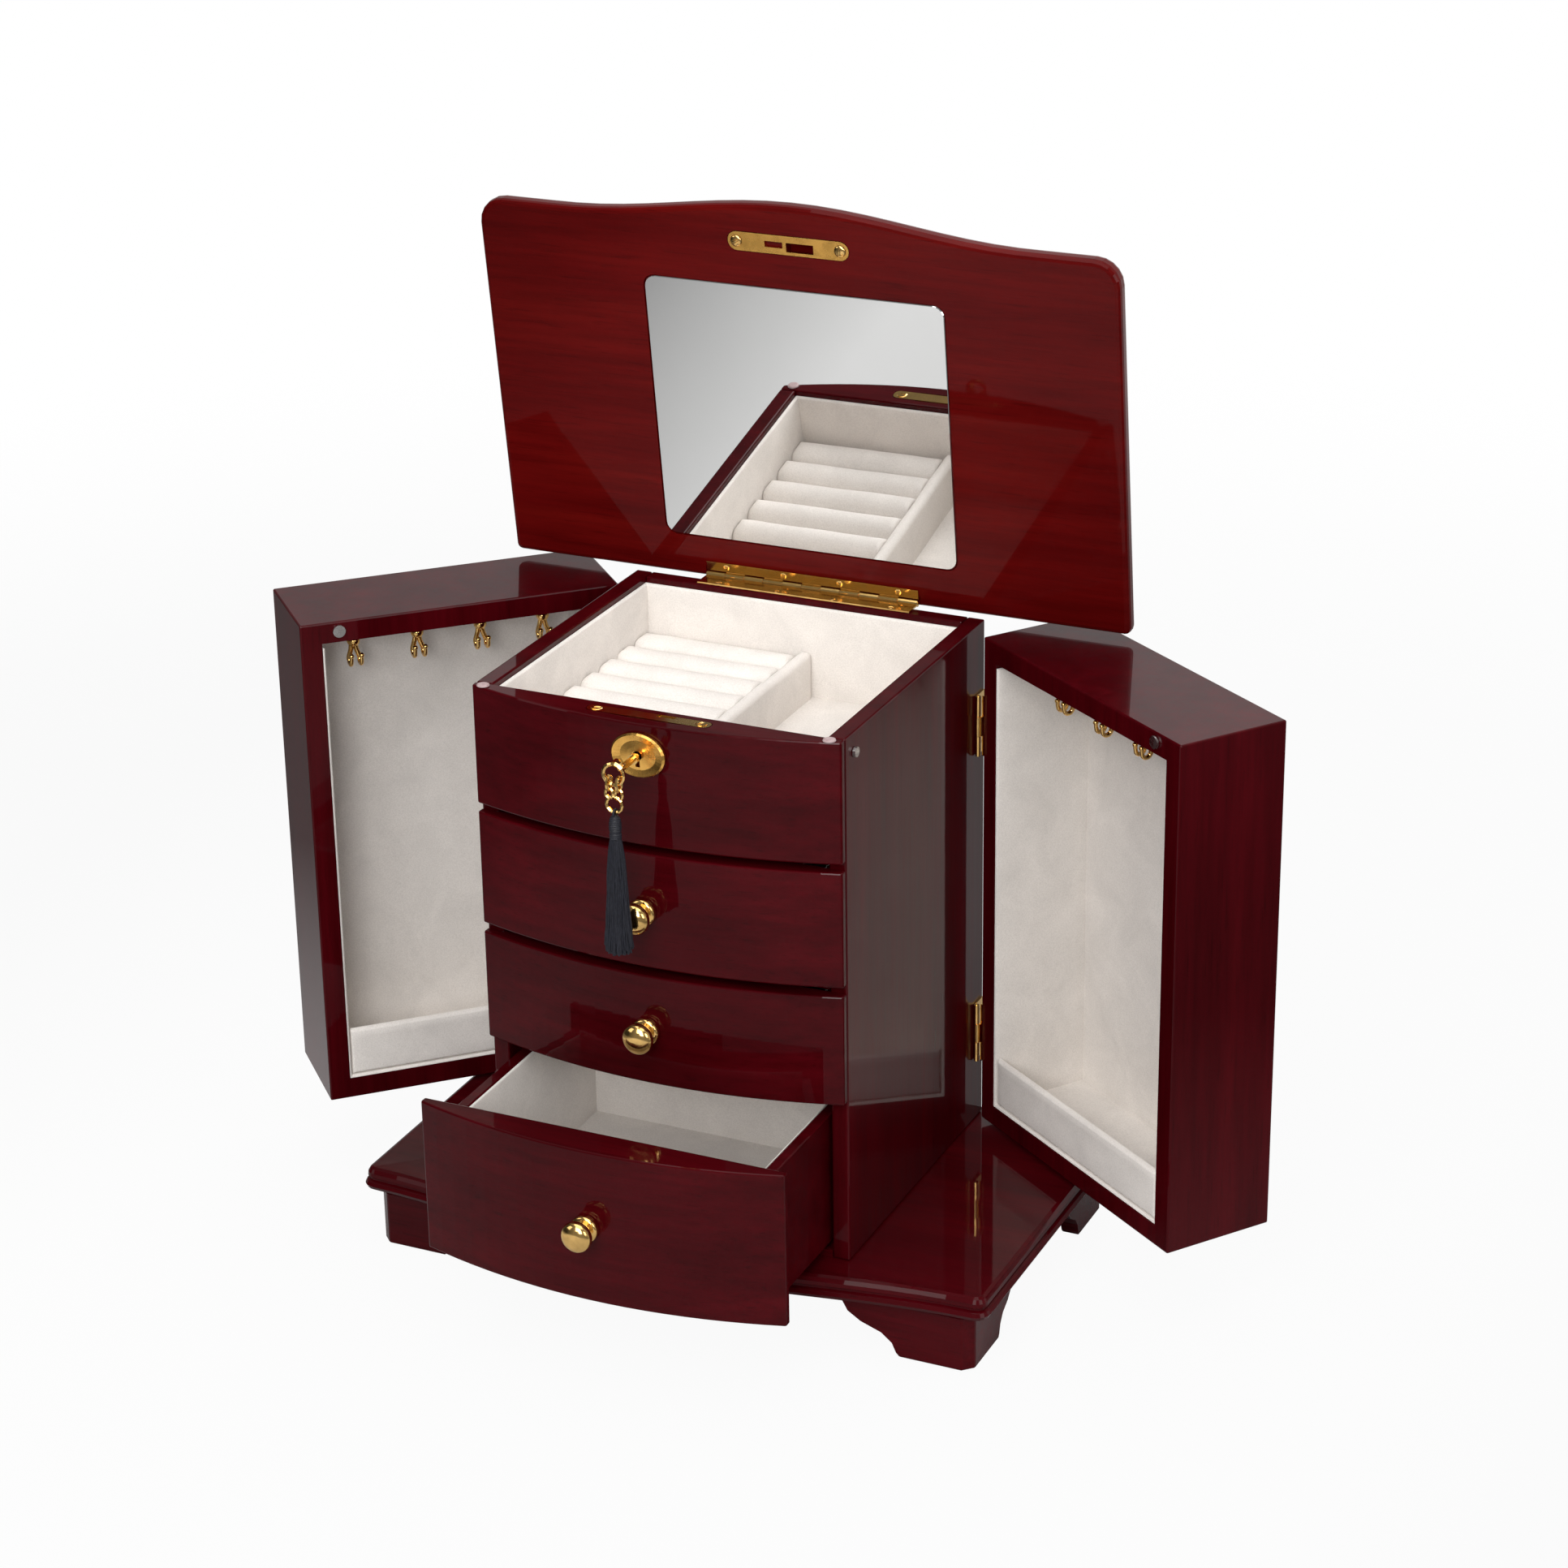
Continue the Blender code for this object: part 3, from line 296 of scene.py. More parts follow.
def mix_of(nodes, links, kind, factor, one, two):
    made = nodes.new("ShaderNodeMix")
    made.data_type = "RGBA"
    made.blend_type = kind
    if isinstance(factor, float):
        made.inputs["Factor"].default_value = factor
    else:
        links.new(factor, made.inputs["Factor"])
    for socket, value in ((made.inputs["A"], one), (made.inputs["B"], two)):
        if isinstance(value, tuple):
            socket.default_value = (*value, 1)
        else:
            links.new(value, socket)
    return made.outputs["Result"]


def bump_of(nodes, links, height, strength, distance, under=None):
    made = nodes.new("ShaderNodeBump")
    made.inputs["Strength"].default_value = strength
    made.inputs["Distance"].default_value = distance
    links.new(height, made.inputs["Height"])
    if under:
        links.new(under, made.inputs["Normal"])
    return made.outputs["Normal"]


GRAIN_STRETCH = 0.055  # scale of the noise along the grain, against 1 across it
DARK_WOOD = ((0.031, 0.0003, 0.0014), (0.050, 0.0007, 0.0025), (0.072, 0.0014, 0.0038))
WARM_WOOD = ((0.068, 0.0010, 0.0012), (0.096, 0.0020, 0.0020), (0.128, 0.0042, 0.0030))


def lacquer(name, along, dark, mid, light):
    """Straight-grained cherry under clear gloss. along is the grain's axis, 0 to 2."""
    made, nodes, links, shader = material(name)
    stretch = [1.0, 1.0, 1.0]
    stretch[along] = GRAIN_STRETCH
    grain_space = mapped(nodes, links, stretch)
    broad = noise_of(nodes, links, grain_space, 60.0, 3.0, 0.5, 0.3)
    fine = noise_of(nodes, links, grain_space, 260.0, 6.0, 0.65)
    pores = noise_of(nodes, links, grain_space, 900.0, 2.0, 0.5)
    cloud = noise_of(nodes, links, mapped(nodes, links, PLAIN), 9.0, 2.0, 0.5)
    base = ramp_of(nodes, links, broad, ((0.18, dark), (0.52, mid), (0.86, light)))
    streak = ramp_of(nodes, links, fine, ((0.34, (0.74, 0.68, 0.68)), (0.62, (1.10, 1.1, 1.1))))
    toned = mix_of(nodes, links, "MULTIPLY", 0.75, base, streak)
    patch = ramp_of(nodes, links, cloud, ((0.35, (0.86, 0.8, 0.8)), (0.65, (1.12, 1.15, 1.12))))
    toned = mix_of(nodes, links, "MULTIPLY", 0.8, toned, patch)
    speck = ramp_of(nodes, links, pores, ((0.30, (0.55, 0.5, 0.5)), (0.40, (1.0, 1.0, 1.0))))
    toned = mix_of(nodes, links, "MULTIPLY", 0.5, toned, speck)
    links.new(toned, shader.inputs["Base Color"])
    shader.inputs["IOR"].default_value = 1.3
    haze = ramp_of(nodes, links, fine, ((0.3, (0.34, 0.34, 0.34)), (0.7, (0.46, 0.46, 0.46))))
    links.new(haze, shader.inputs["Roughness"])
    shader.inputs["Specular IOR Level"].default_value = 0.04
    shader.inputs["Coat Weight"].default_value = 1.0
    shader.inputs["Coat Roughness"].default_value = 0.035
    shader.inputs["Coat IOR"].default_value = 1.2
    ripple = noise_of(nodes, links, mapped(nodes, links, PLAIN), 55.0, 2.0, 0.5)
    wavy = bump_of(nodes, links, ripple, 0.05, 0.0004)
    links.new(wavy, shader.inputs["Coat Normal"])
    links.new(bump_of(nodes, links, fine, 0.12, 0.0001, wavy), shader.inputs["Normal"])
    return made


def velvet(name, tint):
    """Short pile, with a nap that varies in patches."""
    made, nodes, links, shader = material(name)
    plain = mapped(nodes, links, PLAIN)
    nap = noise_of(nodes, links, plain, 38.0, 3.0, 0.6, 0.6)
    pile = noise_of(nodes, links, plain, 1500.0, 3.0, 0.7)
    low = tuple(value * 0.93 for value in tint)
    high = tuple(min(1.0, value * 1.05) for value in tint)
    patch = ramp_of(nodes, links, nap, ((0.3, low), (0.7, high)))
    specks = ramp_of(nodes, links, pile, ((0.32, (0.80, 0.79, 0.78)), (0.62, (1.0, 1.0, 1.0))))
    links.new(mix_of(nodes, links, "MULTIPLY", 0.7, patch, specks), shader.inputs["Base Color"])
    shader.inputs["Roughness"].default_value = 0.95
    shader.inputs["Specular IOR Level"].default_value = 0.15
    shader.inputs["Sheen Weight"].default_value = 0.16
    shader.inputs["Sheen Roughness"].default_value = 0.45
    shader.inputs["Sheen Tint"].default_value = (1.0, 0.98, 0.96, 1)
    links.new(bump_of(nodes, links, pile, 0.35, 0.00025), shader.inputs["Normal"])
    return made


def metal(name, colour, roughness, scale=140.0, tarnish=0.75):
    """Polished metal, a little darker and duller in patches."""
    made, nodes, links, shader = material(name)
    plain = mapped(nodes, links, PLAIN)
    cloud = noise_of(nodes, links, plain, scale, 4.0, 0.6)
    fine = noise_of(nodes, links, plain, 2600.0, 2.0, 0.6)
    worn = tuple(value * tarnish for value in colour)
    tone = ramp_of(nodes, links, cloud, ((0.32, worn), (0.6, colour)))
    links.new(tone, shader.inputs["Base Color"])
    shader.inputs["Metallic"].default_value = 1.0
    dull = (roughness * 1.7,) * 3
    clean = (roughness,) * 3
    gloss = ramp_of(nodes, links, cloud, ((0.3, dull), (0.62, clean)))
    links.new(gloss, shader.inputs["Roughness"])
    links.new(bump_of(nodes, links, fine, 0.06, 0.00008), shader.inputs["Normal"])
    return made


def glass_mirror():
    made, nodes, links, shader = material("silvered_glass")
    smear = noise_of(nodes, links, mapped(nodes, links, PLAIN), 12.0, 4.0, 0.6)
    dark, light = (0.885, 0.888, 0.88), (0.915, 0.917, 0.91)
    tone = ramp_of(nodes, links, smear, ((0.3, dark), (0.7, light)))
    links.new(tone, shader.inputs["Base Color"])
    shader.inputs["Metallic"].default_value = 1.0
    film = ramp_of(nodes, links, smear, ((0.35, (0.006,) * 3), (0.8, (0.016,) * 3)))
    links.new(film, shader.inputs["Roughness"])
    return made


def rubber():
    made, nodes, links, shader = material("bumper_pad")
    plain = mapped(nodes, links, PLAIN)
    cloud = noise_of(nodes, links, plain, 500.0, 3.0, 0.6)
    tone = ramp_of(nodes, links, cloud, ((0.3, (0.36, 0.24, 0.24)), (0.7, (0.50, 0.38, 0.38))))
    links.new(tone, shader.inputs["Base Color"])
    shader.inputs["Roughness"].default_value = 0.5
    links.new(bump_of(nodes, links, cloud, 0.1, 0.0001), shader.inputs["Normal"])
    return made


def thread_material():
    made, nodes, links, shader = material("tassel_silk")
    twist = noise_of(nodes, links, mapped(nodes, links, (1, 1, 0.35)), 1400.0, 3.0, 0.6)
    dark, light = (0.003, 0.003, 0.006), (0.016, 0.017, 0.026)
    tone = ramp_of(nodes, links, twist, ((0.3, dark), (0.7, light)))
    links.new(tone, shader.inputs["Base Color"])
    shader.inputs["Roughness"].default_value = 0.5
    shader.inputs["Specular IOR Level"].default_value = 0.4
    shader.inputs["Sheen Weight"].default_value = 0.03
    shader.inputs["Sheen Tint"].default_value = (0.55, 0.62, 0.8, 1)
    links.new(bump_of(nodes, links, twist, 0.4, 0.0002), shader.inputs["Normal"])
    return made


WOOD_Z = lacquer("cherry_upright", 2, *DARK_WOOD)
WOOD_X = lacquer("cherry_across", 0, *DARK_WOOD)
WOOD_LID = lacquer("cherry_lid", 0, *WARM_WOOD)
VELVET = velvet("ivory_velvet", (0.82, 0.775, 0.73))
BRASS = metal("polished_brass", (0.94, 0.60, 0.21), 0.11)
PLATE_BRASS = metal("orange_brass", (0.98, 0.54, 0.13), 0.2)
STEEL = metal("magnet_nickel", (0.62, 0.60, 0.58), 0.22, 400.0, 0.8)
GLASS = glass_mirror()
PAD = rubber()
SILK = thread_material()

BY_SLOT = {
    "velvet": VELVET,
    "brass": BRASS,
    "magnet_steel": STEEL,
    "mirror_glass": GLASS,
    "bumper": PAD,
    "tassel_thread": SILK,
}
UPRIGHT = ("side_panel", "back_panel", "door_left_case", "door_right_case")
CREASE = math.radians(38)
ON_AXIS = 0.02  # smallest radius of a lathed profile, whose ends close with a tiny face
SPREAD = random.Random(7)
FINISH = {"velvet": VELVET, "brass": BRASS, "tassel_thread": SILK}


# ------------------------------------------------ finer pieces over the CAD
def piece(name, form, body, slot_name, *nodes):
    """Makes one object of a mesh laid out in the cabinet's frame, and lets it ride on its body.
    It takes the place of the CAD nodes named, if any."""
    bmesh.ops.recalc_face_normals(form, faces=form.faces[:])
    form.transform(REST[body])
    mesh = bpy.data.meshes.new(name)
    form.to_mesh(mesh)
    form.free()
    mesh.materials.append(FINISH[slot_name])
    mesh.polygons.foreach_set("use_smooth", [True] * len(mesh.polygons))
    mesh.set_sharp_from_angle(angle=CREASE)
    made = bpy.data.objects.new(name, mesh)
    SCENE.collection.objects.link(made)
    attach(made, body)
    if nodes:
        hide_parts(*nodes)
    return made


def uneven(spot, size, seed):
    """Smooth random value for a place in millimetres; size is how far apart its swells lie."""
    return noise.noise(Vector(spot) / size + Vector((seed * 7.3, seed * 3.1, seed * 5.7)))


def skin(form, rows, closed_rows, capped=True):
    """Faces between rows of vertices. capped closes the first and last rows."""
    for one, two in zip(rows, rows[1:]):
        count = len(one)
        for i in range(count if closed_rows else count - 1):
            j = (i + 1) % count
            form.faces.new((one[i], one[j], two[j], two[i]))
    if capped:
        form.faces.new(rows[0])
        form.faces.new(tuple(reversed(rows[-1])))


def fine_curve(points, steps):
    """A smooth curve through the points, with steps stretches from each to the next."""
    found = []
    last = len(points) - 1
    for i in range(last):
        a, b = Vector(points[max(0, i - 1)]), Vector(points[i])
        c, d = Vector(points[i + 1]), Vector(points[min(last, i + 2)])
        for k in range(steps):
            t = k / steps
            square = (2 * a - 5 * b + 4 * c - d) * t * t
            cube = (3 * b - a - 3 * c + d) * t**3
            found.append(0.5 * (2 * b + (c - a) * t + square + cube))
    found.append(Vector(points[last]))
    return found


def fine_profile(points, steps):
    """A smooth profile of (radius, height) that never quite reaches the axis."""
    return [(max(ON_AXIS, spot[0]), spot[1]) for spot in fine_curve(points, steps)]


def angles(count):
    """Evenly spaced angles round a whole turn."""
    return [2 * math.pi * i / count for i in range(count)]


def turned_shape(form, profile, at, out, sides):
    """A lathed shape: profile is (radius, height), out the way it stands from at."""
    turn = Vector(out).to_track_quat("Z", "Y").to_matrix()
    rows = []
    for radius, height in profile:
        row = []
        for a in angles(sides):
            spot = Vector((radius * math.cos(a), radius * math.sin(a), height))
            row.append(form.verts.new(Vector(at) + turn @ spot))
        rows.append(row)
    skin(form, rows, True)


def swept(form, path, radius, sides, ring=False, taper=None):
    """A round bar along a path of points. taper holds a factor on the radius for each point."""
    points = [Vector(spot) for spot in path]
    rows = []
    count = len(points)
    side = None
    for i, spot in enumerate(points):
        before = points[(i - 1) % count] if ring or i else spot
        after = points[(i + 1) % count] if ring or i < count - 1 else spot
        ahead = (after - before).normalized()
        if side is None:
            side = ahead.orthogonal().normalized()
        side = (side - ahead * side.dot(ahead)).normalized()
        other = ahead.cross(side)
        thick = radius * (taper[i] if taper else 1.0)
        row = []
        for a in angles(sides):
            away = side * math.cos(a) + other * math.sin(a)
            row.append(form.verts.new(spot + away * thick))
        rows.append(row)
    if ring:
        rows.append(rows[0])
    skin(form, rows, True, not ring)


MOST_ROLL = 1.6  # widest rolled edge of a covered board
BOARD_PITCH = 4.5  # about how far apart a board's rows of points lie
SOFT_EDGE = 9.0  # the padding reaches its full height this far in
HEM_IN = 3.0  # how far the hem's ridge lies from the top edge
HEM_HALF = 1.7


def board(form, corner, across, up, out, width, height, thick, seed, crown=0.3, hem=0.0):
    """A fabric-covered board: rolled edges and a soft, slightly uneven face on a flat back.
    crown is the padding's height and hem that of a ridge along the top edge."""
    corner, across, up, out = Vector(corner), Vector(across), Vector(up), Vector(out)
    edge = min(thick, MOST_ROLL)
    rolled = [0.0, edge * 0.06, edge * 0.2, edge * 0.45, edge * 0.75]

    def stations(length):
        inner = max(3, round(length / BOARD_PITCH))
        middle = [edge + (length - 2 * edge) * i / inner for i in range(inner + 1)]
        return rolled + middle + [length - value for value in reversed(rolled)]

    rows = []
    for v in stations(height):
        row = []
        for u in stations(width):
            near = min(u, width - u, v, height - v)
            roll = min(1.0, near / edge)
            lift = thick * math.sqrt(max(0.0, 1 - (1 - roll) ** 2))
            soft = min(1.0, near / SOFT_EDGE)
            spot = corner + across * u + up * v
            broad = 0.22 * soft * uneven(spot, 16, seed)
            fine = 0.1 * uneven(spot, 5, seed + 1) * roll
            swell = crown * soft + broad + fine
            if hem:
                swell += hem * math.exp(-(((height - v - HEM_IN) / HEM_HALF) ** 2)) * roll
            row.append(form.verts.new(spot + out * (lift + swell)))
        rows.append(row)
    skin(form, rows, False, False)
    right = [row[-1] for row in rows[1:]]
    left = [row[0] for row in rows[-2:0:-1]]
    rim = rows[0] + right + rows[-1][-2::-1] + left
    form.faces.new(tuple(reversed(rim)))


def lined_box(form, low, high, thick, seed, open_side=None):
    """Boards on the floor and walls of a box that is open at the top, and at open_side if given.
    low and high are its corners."""
    x0, y0, z0 = low
    x1, y1, z1 = high
    wide, deep, tall = x1 - x0, y1 - y0, z1 - z0
    board(form, (x0, y0, z0), (1, 0, 0), (0, 1, 0), (0, 0, 1), wide, deep, thick, seed)
    if open_side != "left":
        board(form, (x0, y0, z0), (0, 1, 0), (0, 0, 1), (1, 0, 0), deep, tall, thick, seed + 2)
    if open_side != "right":
        board(form, (x1, y0, z0), (0, 1, 0), (0, 0, 1), (-1, 0, 0), deep, tall, thick, seed + 4)
    board(form, (x0, y0, z0), (1, 0, 0), (0, 0, 1), (0, 1, 0), wide, tall, thick, seed + 6)
    board(form, (x0, y1, z0), (1, 0, 0), (0, 0, 1), (0, -1, 0), wide, tall, thick, seed + 8)


ROLL_END = 4.2  # length over which a padded roll's ends close
END_DROP = 3.0


def bolster(form, start, end, middle, half, floor, level, rise, along, seed):
    """One padded roll with straight flanks, a round top and softly closed ends. It runs from
    start to end along an axis, and its round top starts at level and is rise high."""
    length = end - start
    count = max(10, round(length / 3.2))
    ends = [0.0, 0.25, 0.8, 1.7, 2.8]
    inner = [ROLL_END + (length - 2 * ROLL_END) * i / count for i in range(count + 1)]
    flank = (floor, (floor * 2 + level) / 3, (floor + level * 2) / 3)
    rows = []
    for station in ends + inner + [length - value for value in reversed(ends)]:
        near = min(station, length - station)
        full = min(1.0, near / ROLL_END)
        inset = END_DROP * (1 - math.sqrt(max(0.0, 1 - (1 - full) ** 2)))
        outline = [(-half, z) for z in flank]
        for k in range(17):
            a = math.pi * (1 - k / 16)
            outline.append((half * math.cos(a), level + rise * math.sin(a)))
        outline += [(half, z) for z in reversed(flank)]
        row = []
        for side, z in outline:
            side *= (half - inset * 0.55) / half
            z = min(z, level + rise - inset)
            run, across = start + station, middle + side
            spot = Vector((run, across, z)) if along == "x" else Vector((across, run, z))
            soft = min(1.0, (z - floor) / 6.0) * full
            pushed = 0.45 * uneven(spot, 22, seed) + 0.16 * uneven(spot, 6, seed + 3)
            spot.z += pushed * soft
            row.append(form.verts.new(spot))
        rows.append(row)
    skin(form, rows, True)


RING_ROLLS = 8


def make_tray():
    """The top tray's lining, the ring rolls in its left half and the divider beside them."""
    form = bmesh.new()
    lined_box(form, (-84.2, 4.3, 253.8), (84.2, 161.7, 302.0), 1.4, 11)
    piece("tray_velvet", form, "cabinet", "velvet", "tray_lining")
    form = bmesh.new()
    front, back, floor = 6.0, 160.0, 255.3
    pitch = (back - front) / RING_ROLLS
    half = pitch / 2 - 0.05
    for i in range(RING_ROLLS):
        middle = front + pitch * (i + 0.5)
        bolster(form, -82.4, -0.5, middle, half, floor, 269.8, 9.3, "x", 20 + i * 5)
    piece("ring_roll_pads", form, "cabinet", "velvet", "ring_rolls")
    form = bmesh.new()
    bolster(form, front, back, 3.4, 3.3, floor, 276.4, 3.2, "y", 71)
    piece("tray_divider_pad", form, "cabinet", "velvet", "tray_divider")


def make_doors():
    """The side doors' linings, each with a pocket strip along the bottom of its open side."""
    near, far = 96.8, 150.4
    front, back, low, high = 5.3, 145.4, 54.2, 287.6
    pocket_height, pocket_thick = 25.0, 2.3
    for name, side in SIDE_DOORS:
        left, right = sorted((side * near, side * far))
        open_side = "left" if side > 0 else "right"
        form = bmesh.new()
        lined_box(form, (left, front, low), (right, back, high), 1.2, 90 + side * 9, open_side)
        piece(name + "_velvet", form, name, "velvet", name + "_lining")
        form = bmesh.new()
        inner = side * (near + 0.2)
        corner = (inner + side * 2.8, front + 1.6, low + 1.5)
        out = (-side, 0, 0)
        wide = back - front - 3.2
        size = (wide, pocket_height, pocket_thick)
        board(form, corner, (0, 1, 0), (0, 0, 1), out, *size, 130 + side, 0.1, 0.5)
        piece(name + "_pocket_strip", form, name, "velvet", name + "_pocket")


def make_drawer_linings():
    for index, (top, bottom) in enumerate(DRAWER_FRONTS):
        name = f"drawer_{index + 1}"
        low = RIM - bottom + 7.4
        high = RIM - top - 7.5
        form = bmesh.new()
        lined_box(form, (-76.4, 8.0, low), (76.4, 141.1, high), 0.95, 150 + 12 * index)
        piece(name + "_velvet", form, name, "velvet", name + "_lining")


# A drawer knob's profile as (radius, height), from its ball to its foot.
KNOB = (
    (0.0, 14.6),
    (2.4, 14.4),
    (4.8, 13.7),
    (6.9, 12.2),
    (7.6, 10.2),
    (7.0, 8.0),
    (5.2, 6.4),
    (4.1, 5.5),
    (4.0, 4.8),
    (4.9, 4.2),
    (6.3, 3.5),
    (6.8, 2.3),
    (6.5, 0.9),
    (5.8, 0.0),
    (0.0, 0.0),
)


def make_knobs():
    profile = fine_profile(KNOB, 4)
    for index, (top, bottom) in enumerate(DRAWER_FRONTS):
        name = f"drawer_{index + 1}"
        form = bmesh.new()
        foot = (0, -14.8, RIM - (top + bottom) / 2)
        turned_shape(form, profile, foot, (0, -1, 0), 64)
        piece(name + "_turned_knob", form, name, "brass", name + "_knob")


def screw(form, at, out, radius, height, slot_turn):
    """A domed screw head. Two fine ridges across it stand for the edges of the driver slot."""
    dome = [(radius, 0.0)]
    for k in range(1, 7):
        a = math.pi / 2 * k / 6
        dome.append((max(ON_AXIS, radius * math.cos(a)), height * math.sin(a)))
    turned_shape(form, dome, at, out, 28)
    turn = Vector(out).to_track_quat("Z", "Y").to_matrix() @ Matrix.Rotation(slot_turn, 3, "Z")
    for side in (-1, 1):
        path = []
        for along in (-1, -0.5, 0, 0.5, 1):
            rise = height * (1.0 - 0.2 * along * along)
            spot = Vector((along * radius * 0.62, side * radius * 0.17, rise))
            path.append(Vector(at) + turn @ spot)
        swept(form, path, radius * 0.075, 6)


LID_HINGE_SCREWS = (-46.0, -15.0, 15.0, 46.0)  # x of the screws in each leaf
BUTT_LEVELS = (RIM - 50.5, RIM - 214.8)  # middles of the side doors' hinges
BUTT_SCREW_OFF = 10.3  # their screws, above and below the middle
BUTT_SCREWS = [level + off for level in BUTT_LEVELS for off in (-BUTT_SCREW_OFF, BUTT_SCREW_OFF)]


def make_screws():
    """The screws of the strike plate, the lock plate, the lid hinge and the door hinges."""
    form = bmesh.new()
    for i, x in enumerate((-26.6, 26.6)):
        screw(form, (x, -3.8, 307.0), (0, 0, -1), 2.9, 0.9, 0.5 + i)
    for i, x in enumerate(LID_HINGE_SCREWS):
        screw(form, (x, 170.1, 306.55), (0, 0, -1), 1.75, 0.3, 0.3 + i * 1.1)
    piece("lid_screws", form, "lid", "brass")
    form = bmesh.new()
    for i, x in enumerate(LID_HINGE_SCREWS):
        screw(form, (x, 165.2, 305.9), (0, 0, 1), 1.6, 0.3, 0.8 + i * 0.9)
    for i, x in enumerate((-26.0, 26.0)):
        screw(form, (x, -4.0, RIM + 0.1), (0, 0, 1), 2.5, 0.45, 0.2 + i)
    for z in BUTT_SCREWS:
        for side in (-1, 1):
            screw(form, (side * 94.0, 165.4, z), (side, 0, 0), 1.5, 0.18, 0.4 + z)
    piece("cabinet_screws", form, "cabinet", "brass")
    for name, side in SIDE_DOORS:
        form = bmesh.new()
        for z in BUTT_SCREWS:
            screw(form, (side * 102.0, 157.2, z), (0, 1, 0), 1.5, 0.18, 0.9 + z)
        piece(name + "_screws", form, name, "brass")


# A hook stem's profile as (radius, height), from the rail down.
HOOK_STEM = (
    (1.9, 0.0),
    (2.3, -0.8),
    (1.4, -1.8),
    (1.2, -5.0),
    (1.7, -6.4),
    (3.0, -7.4),
    (3.3, -8.8),
    (2.7, -10.4),
    (1.5, -11.4),
    (ON_AXIS, -11.7),
)
HOOK_TOP = 289.8
HOOK_X = 124.4
HOOK_MIDDLE = 75.35
HOOK_PITCH = 32.4
RAIL_HALF = 56.6
RAIL_RADIUS = 1.5
BALL_RADIUS = 1.35


def prong(form, x, y, side, apart):
    """A bar that leaves the stem at x, y and turns up toward the cabinet, with a ball on its end.
    side is the door's and apart is which of the stem's pair it is, -1 or 1."""
    start = y + 0.9 * apart
    end = y + 2.6 * apart
    tip = x - side * 5.3
    path = [
        (x, start, HOOK_TOP - 10.5),
        (x + side * 0.5, start + 0.4 * apart, HOOK_TOP - 15.0),
        (x + side * 0.2, end, HOOK_TOP - 19.0),
    ]
    for k in range(1, 6):
        a = math.radians(36 * k)
        inward = 2.5 - 2.5 * math.cos(a)
        path.append((x - side * inward, end, HOOK_TOP - 19.5 - 2.6 * math.sin(a)))
    path.append((tip, end, HOOK_TOP - 17.2))
    bent = fine_curve(path, 3)
    taper = [1.0 - 0.25 * k / len(bent) for k in range(len(bent))]
    swept(form, bent, 1.3, 12, False, taper)
    ball = []
    for k in range(11):
        a = math.pi * k / 10
        ball.append((max(ON_AXIS, BALL_RADIUS * math.sin(a)), -BALL_RADIUS * math.cos(a)))
    turned_shape(form, ball, (tip, end, HOOK_TOP - 16.9), (0, 0, 1), 20)


def make_hooks():
    """A slim rail with four turned stems, each holding a pair of ball-tipped prongs."""
    stem = fine_profile(HOOK_STEM, 3)
    for name, side in SIDE_DOORS:
        x = side * HOOK_X
        form = bmesh.new()
        level = HOOK_TOP - RAIL_RADIUS
        rail = [(x, HOOK_MIDDLE + RAIL_HALF * k / 12, level) for k in range(-12, 13)]
        swept(form, rail, RAIL_RADIUS, 14)
        for i in range(4):
            y = HOOK_MIDDLE + HOOK_PITCH * (i - 1.5)
            turned_shape(form, stem, (x, y, HOOK_TOP - 2.0), (0, 0, 1), 28)
            for apart in (-1, 1):
                prong(form, x, y, side, apart)
        piece(name + "_hook_rail", form, name, "brass", name + "_hooks")


TASSEL_Y = -40.0
TASSEL_TOP = 270.95
# The head's profile as (radius, height), and the skirt's outline as (depth, radius).
TASSEL_HEAD = ((0.9, 0.0), (1.5, -0.5), (2.3, -1.7), (2.75, -4.0), (2.75, -7.3), (2.2, -9.6))
SKIRT = (
    (10.0, 2.0),
    (12.0, 2.4),
    (17.0, 3.3),
    (27.0, 4.2),
    (42.0, 4.9),
    (56.0, 5.8),
    (67.0, 6.8),
)
SKIRT_START = 9.8
SKIRT_END = 67.0
THREADS = 130
THREAD_TURN = 0.381966  # part of a turn from each thread to the next, which spreads them evenly


def skirt_radius(depth):
    for (above, r0), (below, r1) in zip(SKIRT, SKIRT[1:]):
        if depth <= below:
            return r0 + (r1 - r0) * (depth - above) / (below - above)
    return SKIRT[-1][1]


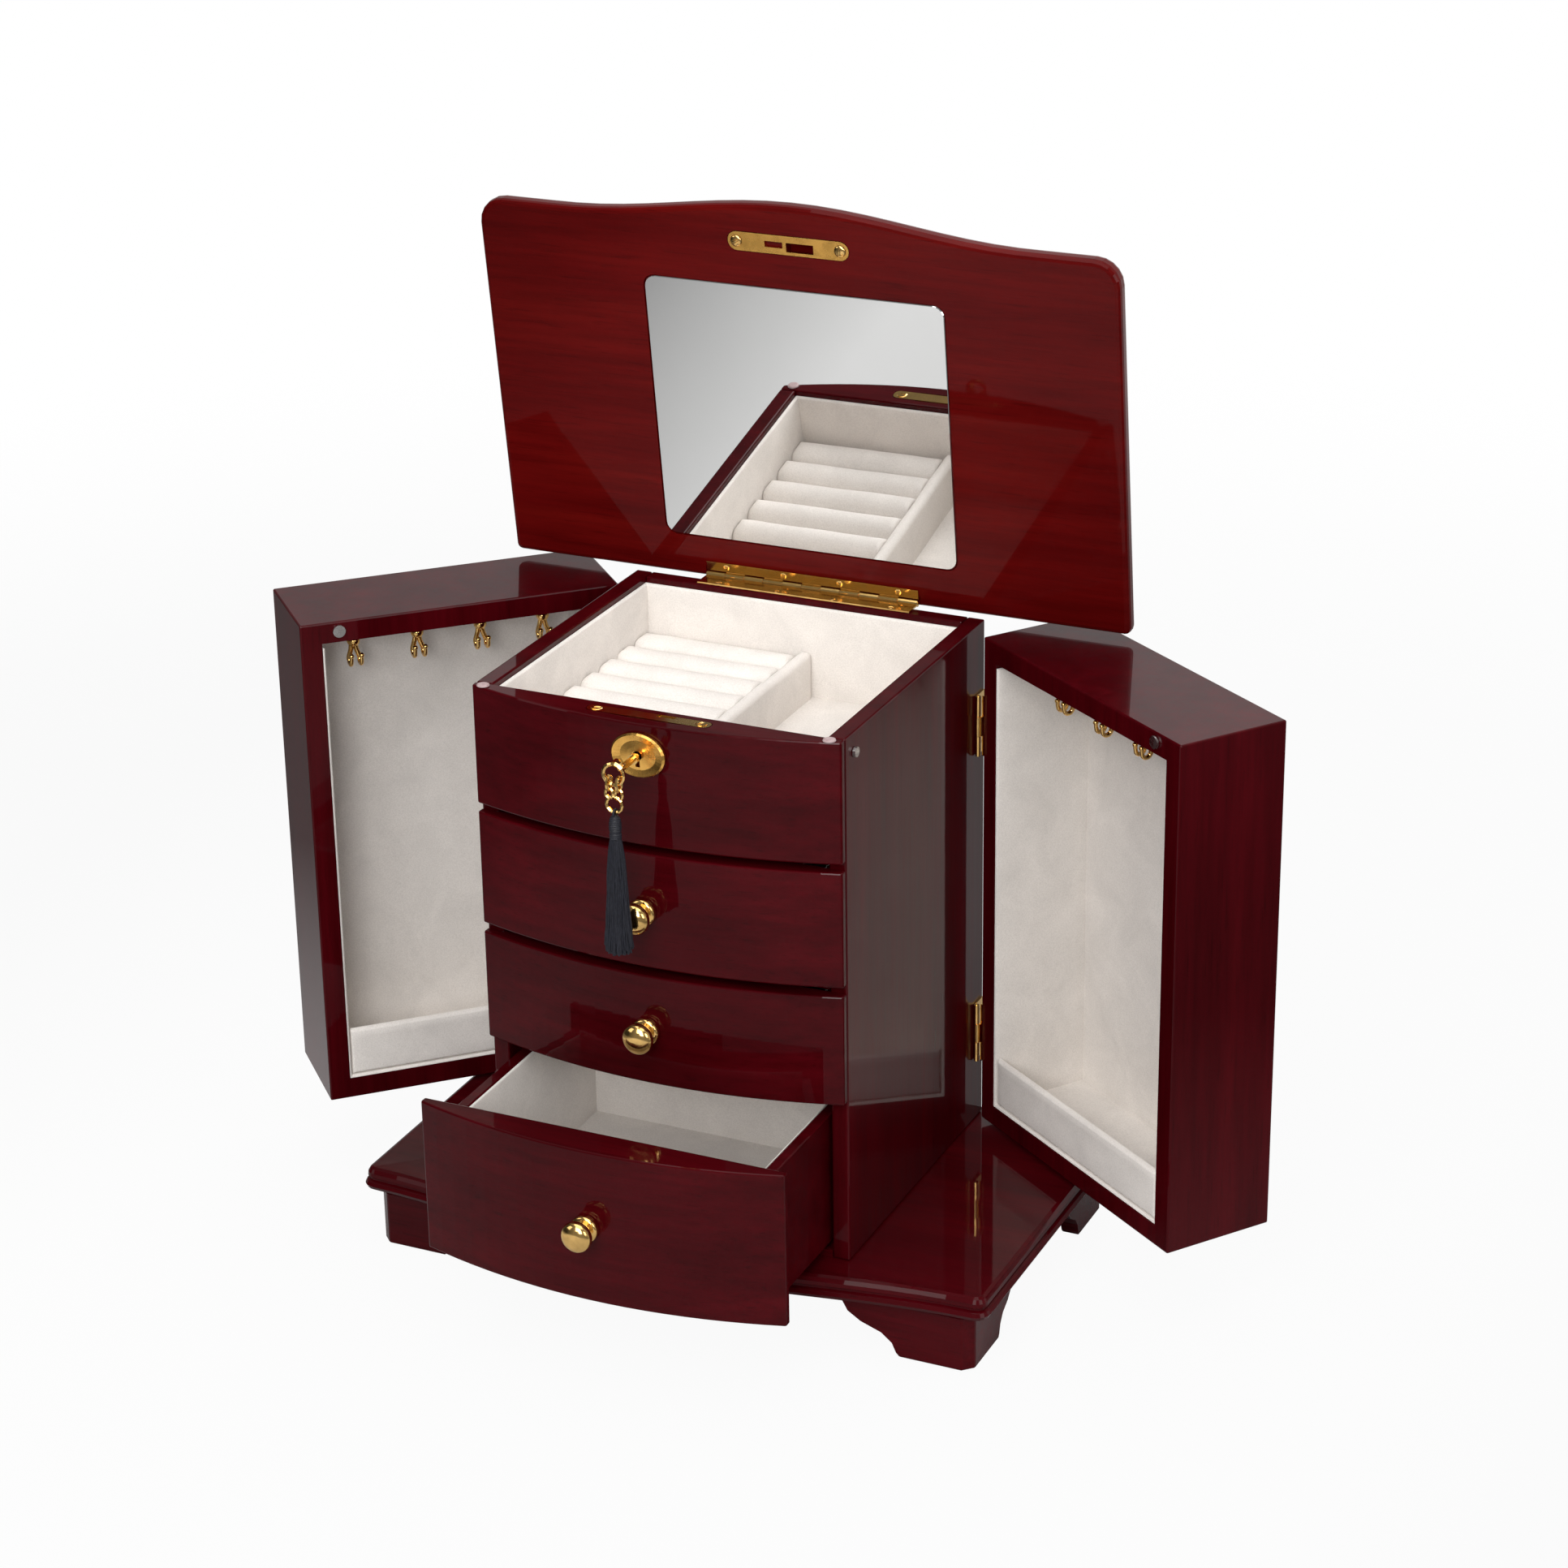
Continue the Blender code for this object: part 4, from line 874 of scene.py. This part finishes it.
def thread_path(index):
    """The points of one thread, wavy and a little shorter than the skirt."""
    around = 2 * math.pi * (index * THREAD_TURN + SPREAD.uniform(-0.01, 0.01))
    share = SPREAD.uniform(0.84, 0.98) if index % 4 else SPREAD.uniform(0.4, 0.8)
    last = SKIRT_END - SPREAD.uniform(0.0, 3.4)
    wave = SPREAD.uniform(0, 6.28)
    path = []
    for k in range(11):
        depth = SKIRT_START + (last - SKIRT_START) * k / 10
        a = around + 0.07 * math.sin(depth * 0.16 + wave) + 0.16 * (k / 10) * math.sin(wave)
        r = skirt_radius(depth) * share + 0.3 * math.sin(depth * 0.2 + wave * 2) * k / 10
        path.append((r * math.cos(a), TASSEL_Y + r * math.sin(a), TASSEL_TOP - depth))
    return path


def make_tassel():
    """A wound head on a cord loop, a wrapped neck and a skirt of separate threads."""
    y, top = TASSEL_Y, TASSEL_TOP
    form = bmesh.new()
    head = fine_curve(TASSEL_HEAD, 8)
    wound = [(spot[0] + 0.13 * math.sin(spot[1] * 7.5), spot[1]) for spot in head]
    turned_shape(form, wound, (0, y, top), (0, 0, 1), 32)
    for k in range(3):
        level = top - 9.4 - 0.8 * k
        wrap = [(2.35 * math.cos(a), y + 2.35 * math.sin(a), level) for a in angles(24)]
        swept(form, wrap, 0.5, 8, True)
    loop = [(0, y + 1.55 * math.cos(a), top + 1.0 + 1.5 * math.sin(a)) for a in angles(24)]
    swept(form, loop, 0.55, 8, True)
    core = [(spot[1] * 0.72, -spot[0]) for spot in fine_curve(SKIRT, 2)]
    turned_shape(form, core, (0, y, top), (0, 0, 1), 20)
    for i in range(THREADS):
        swept(form, thread_path(i), 0.46, 6)
    made = piece("tassel_threads", form, "key_tassel", "tassel_thread", "tassel")
    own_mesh(made)


def finish_nodes():
    """Gives each CAD node the look of its slot. Wood takes the one whose grain runs its way."""
    for name, node in NODES.items():
        given = node.data.materials[0].name.split(".")[0] if node.data.materials else ""
        if name in ("strike_plate", "escutcheon"):
            chosen = PLATE_BRASS
        elif given in BY_SLOT:
            chosen = BY_SLOT[given]
        elif name == "lid_board":
            chosen = WOOD_LID
        elif name.startswith(UPRIGHT):
            chosen = WOOD_Z
        else:
            chosen = WOOD_X
        for index in range(len(node.material_slots)):
            node.material_slots[index].material = chosen


make_tray()
make_doors()
make_drawer_linings()
make_knobs()
make_screws()
make_hooks()
make_tassel()
make_studio()
finish_nodes()
